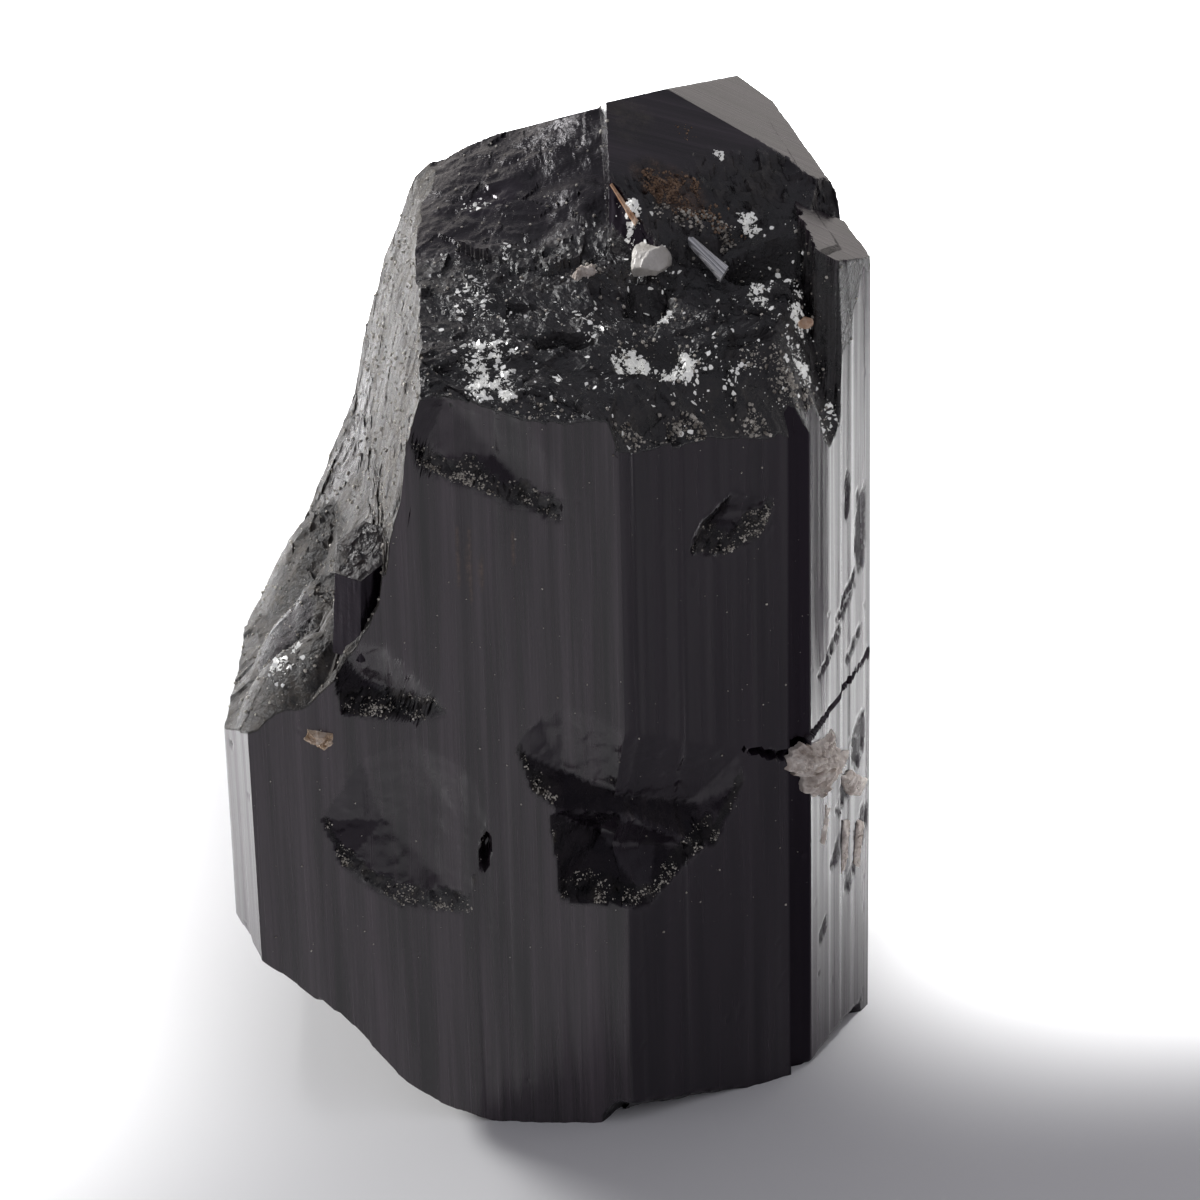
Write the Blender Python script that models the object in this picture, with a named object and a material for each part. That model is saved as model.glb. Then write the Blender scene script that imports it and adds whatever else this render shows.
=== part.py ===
"""Black tourmaline crystal standing on its foot, with its near top broken off rough.

Sizes are in millimetres, and MM turns them into Blender's metres. +Z is up, the foot lies on
z = 0, and the side that the photograph shows faces -Y. The column is a striated prism. Its grown
end is cut by planes, its breaks by blocks with a rough face, and its chips by bitten shapes.
Run it with: blender --background --python part.py
"""
import math
import random

import bmesh
import bpy
from mathutils import Matrix, Vector, noise

MM = 0.001

# Corners of the prism's section, counter-clockwise from above. The narrow left face comes first.
SECTION = (
    (-22.1, -10.9),
    (-20.2, -14.5),
    (4.7, -15.8),
    (16.0, -10.6),
    (17.5, -9.25),
    (21.95, -2.25),
    (16.2, 12.6),
    (13.2, 14.8),
    (-13.2, 15.8),
    (-21.3, 2.8),
)
COLUMN_HEIGHT = 72.0
FOOT_SPREAD = 0.035
STRIP_WIDTHS = (0.9, 2.6)
STRIP_DEPTH = 0.16
STRIP_STEP = 0.12

# The grown end: faces given by compass direction and tilt in degrees. They meet at the peak.
PEAK = Vector((8.6, 6.6, 68.7))
RIGHT_END_FACE = (87.0, 27.3)
BACK_END_FACE = (207.0, 27.3)
FRONT_END_FACE = (20.0, 40.6)
LOWER_STEP_DROP = 1.5

# The broken top: a floor that rises to the back, and a steeper band above the front right faces.
FLOOR_HEIGHT = 59.56
FLOOR_RISE_X = 0.137
FLOOR_RISE_Y = 0.2465
FLOOR_TWIST = 0.0193
RIM_HEIGHT = 53.1
RIM_FALL = 0.14
CORNER_FALL = 0.4
BAND_STEEPNESS = 1.0
BAND_STEEPENING = 0.17
BAND_STEEPENS_FROM = 9.0
BAND_STEEPENS_FOR = 8.0
BAND_END_STEEPNESS = 3.0
UPPER_SCARP_STEEPNESS = 6.0
LOWER_SCARP_STEEPNESS = 18.0
BLOCK_SIZE = 2.6
BLOCK_HEIGHT = 0.75

# The two blocks of grown end face that the break left, by their broken edges, seen from above
# with the block on the left of each edge.
UPPER_BLOCK_EDGES = (
    ((4.6, 15.8), (4.6, 0.2)), ((4.6, 0.2), (7.8, -2.6)), ((7.8, -2.6), (16.6, 1.0)),
)
LOWER_BLOCK_EDGES = (
    ((16.9, 1.3), (17.9, -4.9)), ((17.9, -4.9), (19.3, -5.2)), ((19.3, -5.2), (21.9, -2.0)),
    ((20.0, 1.6), (16.9, 1.3)),
)

# Pits in the broken top: place, half length, half width, turn in degrees, depth.
PITS = (
    (1.5, -8.2, 2.2, 1.0, 8.0, 1.9),
    (7.0, -5.0, 1.7, 1.5, 0.0, 1.8),
    (6.8, -9.6, 2.4, 1.6, 0.0, 1.6),
    (18.4, -6.6, 1.0, 1.3, 0.0, 1.6),
    (15.0, -2.6, 3.0, 1.7, 8.0, 2.6),
    (7.3, -13.4, 1.9, 0.8, 15.0, 1.1),
)

# The broken left side: how far left it reaches at each height, on the front and on the back.
LEFT_BREAK_FRONT = (
    (28.0, -30.0), (30.6, -22.0), (32.2, -20.1), (33.6, -16.7), (36.3, -14.2), (42.4, -10.6),
    (46.5, -10.2), (49.8, -9.3), (53.8, -8.7), (57.0, -7.6), (75.0, -6.5),
)
LEFT_BREAK_BACK = (
    (26.0, -30.0), (29.9, -21.8), (33.8, -19.3), (35.7, -18.4), (38.0, -16.9), (42.4, -14.2),
    (46.4, -12.9), (52.7, -11.2), (58.8, -8.8), (60.5, -7.0), (75.0, -5.6),
)

# Roughness of the left break: fibres along the crystal, and broken flats.
FIBRE_DEPTH = 0.22
FIBRES_PER_MM = 0.9
FIBRE_STRETCH = 0.12
LEFT_FLAT_SIZE = 3.4
LEFT_FLAT_HEIGHT = 1.1

# The broken corner of the foot: height along x on the front face, and how it fades to the back.
FOOT_BREAK = (
    (-26.0, 20.0), (-21.4, 15.4), (-19.9, 13.7), (-16.5, 10.6), (-13.9, 7.7), (-11.3, 4.1),
    (-8.6, 1.9), (-5.9, 0.5), (-3.6, -0.6), (30.0, -1.0),
)
FOOT_BREAK_FADE = 0.25
FOOT_FLAT_SIZE = 4.0
FOOT_FLAT_HEIGHT = 0.5

# The three break blocks: cells of the rough side, and the corners of the ground that it covers,
# as x and y for the top and the foot, and as y and z for the left side. The far sides are flat.
TOP_CELLS, TOP_LOW, TOP_HIGH, TOP_FAR = (52, 38), (-24.0, -18.0), (24.0, 18.0), 80.0
LEFT_CELLS, LEFT_LOW, LEFT_HIGH, LEFT_FAR = (24, 34), (-18.0, 26.0), (18.0, 75.0), -34.0
FOOT_CELLS, FOOT_LOW, FOOT_HIGH, FOOT_FAR = (16, 14), (-24.0, -18.0), (2.0, 17.0), -4.0

# Chips in the front faces: their outline as x and height on the face, and their deepest points
# as x, height and depth below the face.
FRONT_CHIPS = {
    "chip_upper_left": (
        ((-9.4, 58.0), (-2.0, 58.0), (-2.8, 55.6), (1.6, 49.8), (1.3, 48.0), (-4.1, 50.2),
         (-8.2, 52.0)),
        ((-3.2, 52.6, 1.3), (-6.2, 56.5, 1.2)),
    ),
    "chip_upper_right": (
        ((9.2, 44.3), (10.0, 46.6), (12.2, 48.3), (15.1, 47.0), (14.2, 44.4), (11.3, 43.6)),
        ((11.6, 46.2, 1.3), (13.6, 46.0, 0.8)),
    ),
    "chip_left_step": (
        ((-14.6, 39.6), (-10.6, 39.0), (-9.4, 35.6), (-6.6, 33.7), (-8.7, 32.9), (-14.0, 33.4)),
        ((-12.4, 35.6, 1.5), (-9.6, 34.4, 0.8)),
    ),
    "chip_lower_left": (
        ((-15.8, 25.3), (-12.8, 30.1), (-9.4, 31.5), (-5.5, 29.3), (-4.3, 24.5), (-5.9, 17.6),
         (-10.7, 18.0), (-14.6, 21.2)),
        ((-11.6, 24.3, 1.6), (-8.0, 26.6, 1.3), (-8.2, 20.6, 1.0)),
    ),
    "chip_centre_top": (
        ((-2.6, 31.0), (-0.7, 33.6), (0.9, 34.3), (12.6, 28.2), (13.0, 25.9), (10.9, 21.2),
         (1.4, 25.2), (-1.6, 27.8)),
        ((0.6, 28.4, 1.7), (9.6, 24.0, 1.9), (4.0, 26.4, 2.3)),
    ),
    "chip_centre_low": (
        ((-0.4, 26.0), (5.2, 26.6), (10.2, 21.6), (6.3, 17.9), (0.2, 18.7)),
        ((3.0, 22.6, 3.2), (6.6, 21.6, 2.2)),
    ),
    "chip_foot_front": (
        ((2.6, -3.0), (2.7, 0.6), (3.9, 1.9), (6.0, 1.5), (11.4, 0.5), (14.4, -0.3), (14.0, -3.0)),
        ((4.2, -0.2, 2.4), (11.0, -1.4, 2.2)),
    ),
    "chip_foot_right": (
        ((16.9, -3.0), (17.4, 0.3), (20.4, 0.5), (21.8, 1.2), (21.9, -3.0)),
        ((19.0, -1.2, 1.6), (20.6, -1.2, 1.8)),
    ),
}
CHIP_OVERHANG = 1.5

# Dished chips in the back faces: place, direction faced in degrees, half width, half height, half
# thickness, depth of the bite, turn in the face in degrees.
BACK_CHIPS = {
    "chip_back_high": ((2.0, 15.2, 46.0), 178.0, 6.0, 7.0, 4.0, 1.4, 30.0),
    "chip_back_low": ((-9.0, 15.6, 12.0), 178.0, 5.0, 4.2, 3.0, 1.2, -15.0),
    "chip_back_right": ((18.6, 7.0, 21.0), 110.0, 4.0, 5.0, 3.0, 1.2, 10.0),
}

# Blocky lumps on the broken left side: place, direction faced, half width, height and depth.
LEFT_LUMPS = {
    "lump_front": ((-18.4, -11.2, 31.4), -30.0, (3.4, 3.2, 2.4)),
    "lump_middle": ((-17.2, -5.6, 32.6), -60.0, (3.6, 2.8, 2.4)),
    "lump_back": ((-17.6, 3.0, 32.0), -90.0, (4.4, 3.0, 2.2)),
    "lump_high": ((-13.0, -9.6, 37.4), -50.0, (3.0, 2.6, 2.0)),
}
LUMP_POINTS = 22

# The small six-sided crystal on the broken side: its middle, radii below and above, length, leans
# to the right and forward in degrees, and its slanted end.
SMALL_PLACE = (-12.2, -12.7, 42.0)
SMALL_RADII = (2.2, 2.0)
SMALL_LENGTH = 9.0
SMALL_LEAN = (3.0, 7.0)
SMALL_END_HEIGHT = 3.0
SMALL_END_FACING = (-0.35, -0.5, 1.0)

# The crack that runs from the front face round the right-hand corner, and its half width.
CRACK = (
    (12.9, -12.1, 28.4), (14.6, -11.3, 27.4), (16.1, -10.6, 27.0), (17.5, -9.2, 27.4),
    (19.0, -7.0, 28.3), (20.5, -4.6, 29.2), (22.0, -2.3, 30.1),
)
CRACK_HALF_WIDTH = 0.42

# Minerals of their own, each seated in a pocket with a hair's clearance.
CLEARANCE = 0.3
FELDSPAR = {"place": (17.9, -8.9, 24.7), "faces": 44.0, "half": (2.8, 3.1, 1.5), "proud": 0.45}
CRUMB = {"place": (-15.5, -14.74, 31.8), "faces": -3.0, "half": (1.1, 0.85, 0.8), "proud": 0.4}
QUARTZ = {"place": (7.2, -1.7, 59.7), "half": (1.25, 1.1, 1.0), "tip": 18.0}
MICA = {"place": (10.8, -2.7, 60.5), "size": (4.4, 1.3, 0.9), "turn": -38.0, "pitch": 22.0}


def plane_normal(face):
    """Unit normal of an end face, from its compass direction and its tilt from level."""
    direction, tilt = (math.radians(angle) for angle in face)
    outward = Vector((math.sin(direction), -math.cos(direction), 0.0))
    return outward * math.sin(tilt) + Vector((0.0, 0.0, math.cos(tilt)))


def plane_height(face, x, y):
    """Height of an end face through the peak, above the point (x, y)."""
    normal = plane_normal(face)
    across = normal.x * (x - PEAK.x) + normal.y * (y - PEAK.y)
    return PEAK.z - across / normal.z


def past_line(start, end, x, y):
    """How far (x, y) lies to the right of the line from start to end; negative on its left."""
    run = Vector(end) - Vector(start)
    run.normalize()
    return run.y * (x - start[0]) - run.x * (y - start[1])


def along(table, value):
    """Straight-line interpolation in a table of (place, result) pairs in rising order."""
    for (low, at_low), (high, at_high) in zip(table, table[1:]):
        if value <= high:
            share = max(0.0, (value - low) / (high - low))
            return at_low + (at_high - at_low) * share
    return table[-1][1]


def fracture(x, y, z, size, height):
    """Blocky break: every cell of a Voronoi pattern is a flat with its own height and tilt."""
    point = Vector((x, y, z)) / size
    centre = noise.voronoi(point)[1][0]
    tilt = noise.noise_vector(centre * 3.7)
    return height * (1.3 * noise.noise(centre * 5.1) + tilt.dot(point - centre))


def pit_depth(x, y):
    """Depth of the pits at (x, y): each is a bowl with a steep edge."""
    depth = 0.0
    for px, py, half_length, half_width, turn, full in PITS:
        angle = math.radians(turn)
        dx, dy = x - px, y - py
        u = (dx * math.cos(angle) + dy * math.sin(angle)) / half_length
        v = (dy * math.cos(angle) - dx * math.sin(angle)) / half_width
        depth = max(depth, full * (1.0 - (u * u + v * v) ** 1.5))
    return depth


def past_edges(edges, x, y):
    """How far (x, y) lies outside a block with these edges; negative inside it."""
    return max(past_line(start, end, x, y) for start, end in edges)


def block_height(top, outside, steepness, rough):
    """Height of a grown block: its face where it is whole, and a steep rough scarp round it."""
    if outside <= 0.0:
        return top
    return top - steepness * outside + rough


def top_height(x, y):
    """Height of the broken top: rough floor, low rim, and the two grown blocks left on it."""
    floor = FLOOR_HEIGHT + FLOOR_RISE_X * x + FLOOR_RISE_Y * y + FLOOR_TWIST * x * y
    inward = min(past_line(SECTION[3], SECTION[2], x, y), past_line(SECTION[5], SECTION[4], x, y))
    rim = RIM_HEIGHT - RIM_FALL * (x - SECTION[2][0]) - CORNER_FALL * max(0.0, x - SECTION[3][0])
    steepening = min(max(0.0, x - BAND_STEEPENS_FROM), BAND_STEEPENS_FOR)
    steepness = BAND_STEEPNESS + BAND_STEEPENING * steepening
    left_of_rim = BAND_END_STEEPNESS * max(0.0, SECTION[2][0] - x)
    rough = fracture(x, y, 0.0, BLOCK_SIZE, BLOCK_HEIGHT) - pit_depth(x, y)
    floor = min(floor, rim + steepness * inward + left_of_rim) + rough
    upper = plane_height(FRONT_END_FACE, x, y)
    lower = plane_height(RIGHT_END_FACE, x, y) - LOWER_STEP_DROP
    upper_outside = past_edges(UPPER_BLOCK_EDGES, x, y)
    lower_outside = past_edges(LOWER_BLOCK_EDGES, x, y)
    upper = block_height(upper, upper_outside, UPPER_SCARP_STEEPNESS, rough)
    lower = block_height(lower, lower_outside, LOWER_SCARP_STEEPNESS, rough)
    return max(floor, upper, lower)


def left_reach(y, z):
    """How far left the crystal reaches at (y, z) on its broken side."""
    share = (y - SECTION[2][1]) / (SECTION[8][1] - SECTION[2][1])
    reach = along(LEFT_BREAK_FRONT, z) * (1.0 - share) + along(LEFT_BREAK_BACK, z) * share
    fibres = FIBRE_DEPTH * noise.noise(Vector((y * FIBRES_PER_MM, z * FIBRE_STRETCH, 4.0)))
    return reach + fibres + fracture(y, z * 0.7, 9.0, LEFT_FLAT_SIZE, LEFT_FLAT_HEIGHT)


def foot_height(x, y):
    """Height of the broken corner of the foot; below the floor where the foot is whole."""
    shifted = x + FOOT_BREAK_FADE * (y - SECTION[2][1])
    height = along(FOOT_BREAK, shifted)
    if height > 0.0:
        height += fracture(x, y, 20.0, FOOT_FLAT_SIZE, FOOT_FLAT_HEIGHT)
    return height


def front_wall(x):
    """Where the front faces stand at x: the y of the wall, and its outward direction."""
    for start, end in zip(SECTION[:5], SECTION[1:6]):
        if x <= end[0]:
            break
    run = Vector(end) - Vector(start)
    y = start[1] + run.y * (x - start[0]) / run.x
    return y, Vector((run.y, -run.x)).normalized()


def new_object(name, mesh, collection):
    """An object for a mesh, in a collection."""
    obj = bpy.data.objects.new(name, mesh)
    collection.objects.link(obj)
    return obj


def mesh_from(bm, name):
    """Turn a bmesh in millimetres into a mesh in metres, with its faces pointing out."""
    bmesh.ops.recalc_face_normals(bm, faces=bm.faces)
    bmesh.ops.scale(bm, vec=(MM, MM, MM), verts=bm.verts)
    mesh = bpy.data.meshes.new(name)
    bm.to_mesh(mesh)
    bm.free()
    return mesh


def striated_outline():
    """The section with shallow strips set back at random, as growth leaves them."""
    dice = random.Random(7)
    points = []
    for start, end in zip(SECTION, SECTION[1:] + SECTION[:1]):
        start, end = Vector(start), Vector(end)
        length = (end - start).length
        run = (end - start) / length
        inward = Vector((-run.y, run.x))
        points.append(start)
        place = dice.uniform(*STRIP_WIDTHS)
        setback = 0.0
        while place < length - STRIP_WIDTHS[0]:
            points.append(start + run * place + inward * setback)
            setback = dice.uniform(0.0, STRIP_DEPTH)
            points.append(start + run * (place + STRIP_STEP) + inward * setback)
            place += dice.uniform(*STRIP_WIDTHS)
    return points


def striated_column():
    """The prism as a filled flat curve with an extrude, made a mesh and welded."""
    curve = bpy.data.curves.new("column_outline", "CURVE")
    curve.dimensions = "2D"
    curve.fill_mode = "BOTH"
    curve.extrude = COLUMN_HEIGHT / 2.0
    points = striated_outline()
    spline = curve.splines.new("POLY")
    spline.points.add(len(points) - 1)
    for slot, point in zip(spline.points, points):
        slot.co = (point.x, point.y, 0.0, 1.0)
    spline.use_cyclic_u = True
    holder = bpy.data.objects.new("column_outline", curve)
    bpy.context.scene.collection.objects.link(holder)
    shape = holder.evaluated_get(bpy.context.evaluated_depsgraph_get())
    mesh = bpy.data.meshes.new_from_object(shape)
    bm = bmesh.new()
    bm.from_mesh(mesh)
    bmesh.ops.remove_doubles(bm, verts=bm.verts, dist=0.001)
    bmesh.ops.translate(bm, vec=(0.0, 0.0, COLUMN_HEIGHT / 2.0), verts=bm.verts)
    for vert in bm.verts:
        vert.co.x *= 1.0 + FOOT_SPREAD * (0.5 - vert.co.z / COLUMN_HEIGHT)
    bmesh.ops.dissolve_limit(bm, angle_limit=0.001, verts=bm.verts, edges=bm.edges)
    bpy.data.objects.remove(holder)
    bpy.data.meshes.remove(mesh)
    return bm


def cut_end_face(bm, face):
    """Slice the column along an end face through the peak, and close the cut."""
    everything = list(bm.verts) + list(bm.edges) + list(bm.faces)
    bmesh.ops.bisect_plane(
        bm, geom=everything, plane_co=PEAK, plane_no=plane_normal(face), clear_outer=True
    )
    open_edges = [edge for edge in bm.edges if edge.is_boundary]
    bmesh.ops.holes_fill(bm, edges=open_edges, sides=0)


def rough_block(name, cells, low, high, place, far):
    """A closed block whose near side is a grid laid on a rough surface.

    place(u, v) gives the near corner for grid values u and v, and far(u, v) the far one.
    """
    bm = bmesh.new()
    bmesh.ops.create_grid(bm, x_segments=cells[0], y_segments=cells[1], size=0.5)
    centre = Vector((low[0] + high[0], low[1] + high[1], 0.0)) / 2.0
    spread = Vector((high[0] - low[0], high[1] - low[1], 1.0))
    for vert in bm.verts:
        vert.co = centre + Vector((vert.co.x * spread.x, vert.co.y * spread.y, 0.0))
    near = list(bm.verts)
    grown = bmesh.ops.extrude_face_region(bm, geom=list(bm.faces))["geom"]
    backs = [item for item in grown if isinstance(item, bmesh.types.BMVert)]
    for vert in near:
        vert.co = place(vert.co.x, vert.co.y)
    for vert in backs:
        vert.co = far(vert.co.x, vert.co.y)
    level = [face for face in bm.faces if all(vert in set(backs) for vert in face.verts)]
    bmesh.ops.dissolve_faces(bm, faces=level)
    return mesh_from(bm, name)


def face_frame(place, direction, turn=0.0):
    """Axes on a crystal face: x along it, y up it and z out of it, turned in the face."""
    angle = math.radians(direction)
    along_face = Vector((math.cos(angle), math.sin(angle), 0.0))
    outward = Vector((math.sin(angle), -math.cos(angle), 0.0))
    axes = Matrix((along_face, Vector((0.0, 0.0, 1.0)), outward)).transposed().to_4x4()
    return Matrix.Translation(place) @ axes @ Matrix.Rotation(math.radians(turn), 4, "Z")


def lump(name, frame, half, seed, roughness=0.18, level=None):
    """A hackly stone lump: an icosphere squeezed to its half sizes, dented by fixed noise.

    level flattens everything that stands further out than that.
    """
    bm = bmesh.new()
    bmesh.ops.create_icosphere(bm, subdivisions=3, radius=1.0)
    for vert in bm.verts:
        outward = vert.co.normalized()
        cell = noise.voronoi(outward * 1.7 + Vector((seed, 0.0, 0.0)))[1][0]
        dent = 1.0 + roughness * noise.noise(cell * 6.3)
        vert.co = Vector([value * size * dent for value, size in zip(outward, half)])
        if level is not None:
            vert.co.z = min(vert.co.z, level + 0.1 * noise.noise(outward * 4.0))
    bmesh.ops.transform(bm, matrix=frame, verts=bm.verts)
    return mesh_from(bm, name)


def chip_hull(name, outline, deep):
    """A flat-sided chip: the hull of its outline, lifted off the face, and its deep points."""
    bm = bmesh.new()
    for x, height in outline:
        y, outward = front_wall(x)
        bm.verts.new((x, y, height))
        bm.verts.new((x + outward.x * CHIP_OVERHANG, y + outward.y * CHIP_OVERHANG, height))
    for x, height, depth in deep:
        y, outward = front_wall(x)
        bm.verts.new((x - outward.x * depth, y - outward.y * depth, height))
    hull = bmesh.ops.convex_hull(bm, input=list(bm.verts))
    bmesh.ops.delete(bm, geom=hull["geom_interior"], context="VERTS")
    return mesh_from(bm, name)


def blocky_lump(name, frame, half, seed):
    """A blocky lump: the hull of points scattered on a ball that is squeezed to its half sizes."""
    dice = random.Random(seed)
    bm = bmesh.new()
    for _ in range(LUMP_POINTS):
        outward = Vector([dice.gauss(0.0, 1.0) for _ in range(3)]).normalized()
        bm.verts.new([value * size for value, size in zip(outward, half)])
    hull = bmesh.ops.convex_hull(bm, input=list(bm.verts))
    bmesh.ops.delete(bm, geom=hull["geom_interior"], context="VERTS")
    bmesh.ops.transform(bm, matrix=frame, verts=bm.verts)
    return mesh_from(bm, name)


def crack_mesh():
    """The crack as a thin tube along its line, made a mesh with its ends welded shut."""
    curve = bpy.data.curves.new("crack_line", "CURVE")
    curve.dimensions = "3D"
    curve.bevel_depth = CRACK_HALF_WIDTH * MM
    curve.bevel_resolution = 1
    curve.use_fill_caps = True
    spline = curve.splines.new("POLY")
    spline.points.add(len(CRACK) - 1)
    for slot, point in zip(spline.points, CRACK):
        slot.co = (*(value * MM for value in point), 1.0)
    holder = bpy.data.objects.new("crack_line", curve)
    bpy.context.scene.collection.objects.link(holder)
    shape = holder.evaluated_get(bpy.context.evaluated_depsgraph_get())
    mesh = bpy.data.meshes.new_from_object(shape)
    bm = bmesh.new()
    bm.from_mesh(mesh)
    bmesh.ops.remove_doubles(bm, verts=bm.verts, dist=0.01 * MM)
    bmesh.ops.recalc_face_normals(bm, faces=bm.faces)
    bm.to_mesh(mesh)
    bm.free()
    bpy.data.objects.remove(holder)
    return mesh


def small_crystal(name):
    """The glassy six-sided crystal that grew on the broken side, with a slanted end."""
    bm = bmesh.new()
    bmesh.ops.create_cone(
        bm, cap_ends=True, segments=6, radius1=SMALL_RADII[0], radius2=SMALL_RADII[1],
        depth=SMALL_LENGTH,
    )
    everything = list(bm.verts) + list(bm.edges) + list(bm.faces)
    bmesh.ops.bisect_plane(
        bm, geom=everything, plane_co=(0.0, 0.0, SMALL_END_HEIGHT), plane_no=SMALL_END_FACING,
        clear_outer=True,
    )
    open_edges = [edge for edge in bm.edges if edge.is_boundary]
    bmesh.ops.holes_fill(bm, edges=open_edges, sides=0)
    lean_right, lean_forward = (math.radians(angle) for angle in SMALL_LEAN)
    tilt = Matrix.Rotation(lean_right, 4, "Y") @ Matrix.Rotation(lean_forward, 4, "X")
    bmesh.ops.transform(bm, matrix=Matrix.Translation(SMALL_PLACE) @ tilt, verts=bm.verts)
    return mesh_from(bm, name)


def blade_mesh(name, grow):
    """The mica blade, or its slot when grow is the clearance: a box with bevelled edges."""
    bm = bmesh.new()
    bmesh.ops.create_cube(bm, size=1.0)
    bmesh.ops.scale(bm, vec=[value + 2.0 * grow for value in MICA["size"]], verts=bm.verts)
    edges = list(bm.edges)
    bmesh.ops.bevel(bm, geom=edges, offset=0.12, segments=1, affect="EDGES")
    turn = Matrix.Rotation(math.radians(MICA["turn"]), 4, "Z")
    pitch = Matrix.Rotation(math.radians(MICA["pitch"]), 4, "Y")
    bmesh.ops.transform(
        bm, matrix=Matrix.Translation(MICA["place"]) @ turn @ pitch, verts=bm.verts
    )
    return mesh_from(bm, name)


def quartz_frame():
    """Where the white grain sits, tipped a little."""
    tip = Matrix.Rotation(math.radians(QUARTZ["tip"]), 4, "X")
    return Matrix.Translation(QUARTZ["place"]) @ tip


def material(name, colour, roughness, metallic=0.0):
    """A Principled material of one colour."""
    made = bpy.data.materials.new(name)
    made.use_nodes = True
    shader = made.node_tree.nodes["Principled BSDF"]
    shader.inputs["Base Color"].default_value = (*colour, 1.0)
    shader.inputs["Roughness"].default_value = roughness
    shader.inputs["Metallic"].default_value = metallic
    made.diffuse_color = (*colour, 1.0)
    return made


def combine(target, operation, tool):
    """Add an exact Boolean that cuts or joins a tool on the target."""
    modifier = target.modifiers.new(tool.name, "BOOLEAN")
    modifier.operation = operation
    modifier.solver = "EXACT"
    modifier.object = tool
    tool.hide_render = True
    tool.display_type = "WIRE"


def break_blocks():
    """The three big breaks: name and mesh of each rough block."""
    top = rough_block(
        "cut_top", TOP_CELLS, TOP_LOW, TOP_HIGH,
        lambda x, y: Vector((x, y, top_height(x, y))), lambda x, y: Vector((x, y, TOP_FAR)),
    )
    left = rough_block(
        "cut_left", LEFT_CELLS, LEFT_LOW, LEFT_HIGH,
        lambda y, z: Vector((left_reach(y, z), y, z)), lambda y, z: Vector((LEFT_FAR, y, z)),
    )
    foot = rough_block(
        "cut_foot", FOOT_CELLS, FOOT_LOW, FOOT_HIGH,
        lambda x, y: Vector((x, y, foot_height(x, y))), lambda x, y: Vector((x, y, FOOT_FAR)),
    )
    return top, left, foot


def build_crystal(parts, tools):
    """The tourmaline: column, end faces, breaks, grown lumps, chips, crack and pockets."""
    bm = striated_column()
    cut_end_face(bm, RIGHT_END_FACE)
    cut_end_face(bm, BACK_END_FACE)
    crystal = new_object("tourmaline_crystal", mesh_from(bm, "tourmaline_crystal"), parts)
    for mesh in break_blocks():
        combine(crystal, "DIFFERENCE", new_object(mesh.name, mesh, tools))
    crystal_mesh = small_crystal("add_small_crystal")
    combine(crystal, "UNION", new_object(crystal_mesh.name, crystal_mesh, tools))
    for seed, (name, (place, direction, half)) in enumerate(LEFT_LUMPS.items()):
        mesh = blocky_lump(name, face_frame(place, direction), half, seed)
        combine(crystal, "UNION", new_object(name, mesh, tools))
    for name, (outline, deep) in FRONT_CHIPS.items():
        combine(crystal, "DIFFERENCE", new_object(name, chip_hull(name, outline, deep), tools))
    for seed, (name, chip) in enumerate(BACK_CHIPS.items()):
        place, direction, width, height, thickness, depth, turn = chip
        frame = face_frame(place, direction, turn)
        frame = frame @ Matrix.Translation((0.0, 0.0, thickness - depth))
        mesh = lump(name, frame, (width, height, thickness), float(seed))
        combine(crystal, "DIFFERENCE", new_object(name, mesh, tools))
    combine(crystal, "DIFFERENCE", new_object("cut_crack", crack_mesh(), tools))
    return crystal


def seat(crystal, parts, tools, name, made, pocket):
    """Put a mineral grain in its pocket in the crystal."""
    combine(crystal, "DIFFERENCE", new_object(f"pocket_{name}", pocket, tools))
    return new_object(name, made, parts)


def grain(name, frame, half, seed, proud, pocket):
    """A grain flattened at its proud height, or its pocket, which is wider by the clearance."""
    if pocket:
        wide = [value + CLEARANCE for value in half]
        return lump(name, frame, wide, seed)
    return lump(name, frame, half, seed, level=proud)


def build():
    """Make the crystal and the four minerals in it."""
    for obj in list(bpy.data.objects):
        bpy.data.objects.remove(obj, do_unlink=True)
    parts = bpy.data.collections.new("tourmaline_specimen")
    tools = bpy.data.collections.new("cutters")
    for collection in (parts, tools):
        bpy.context.scene.collection.children.link(collection)
    crystal = build_crystal(parts, tools)
    crystal.data.materials.append(material("black_tourmaline", (0.012, 0.010, 0.013), 0.22))
    pale = material("feldspar", (0.42, 0.34, 0.28), 0.75)
    for name, spec, seed in (("feldspar_patch", FELDSPAR, 31.0), ("feldspar_crumb", CRUMB, 32.0)):
        frame = face_frame(spec["place"], spec["faces"])
        made = grain(name, frame, spec["half"], seed, spec["proud"], False)
        pocket = grain(f"pocket_{name}", frame, spec["half"], seed, None, True)
        obj = seat(crystal, parts, tools, name, made, pocket)
        obj.data.materials.append(pale)
    made = lump("quartz_grain", quartz_frame(), QUARTZ["half"], 33.0, 0.1)
    wide = [value + CLEARANCE for value in QUARTZ["half"]]
    pocket = lump("pocket_quartz_grain", quartz_frame(), wide, 33.0, 0.1)
    obj = seat(crystal, parts, tools, "quartz_grain", made, pocket)
    obj.data.materials.append(material("quartz", (0.62, 0.58, 0.55), 0.45))
    made = blade_mesh("mica_blade", 0.0)
    pocket = blade_mesh("pocket_mica_blade", CLEARANCE)
    obj = seat(crystal, parts, tools, "mica_blade", made, pocket)
    obj.data.materials.append(material("mica", (0.55, 0.55, 0.56), 0.25, 0.6))


build()
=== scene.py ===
# %% [markdown]
# # A black tourmaline crystal
#
# The real thing is one thick prism of black tourmaline. Its long faces are striated, its near top
# is broken off rough, and its upper left side is broken away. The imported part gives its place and
# size. This script lays finely worked surfaces over it, each one a numpy formula.

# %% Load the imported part
import itertools
import math
import random

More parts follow.
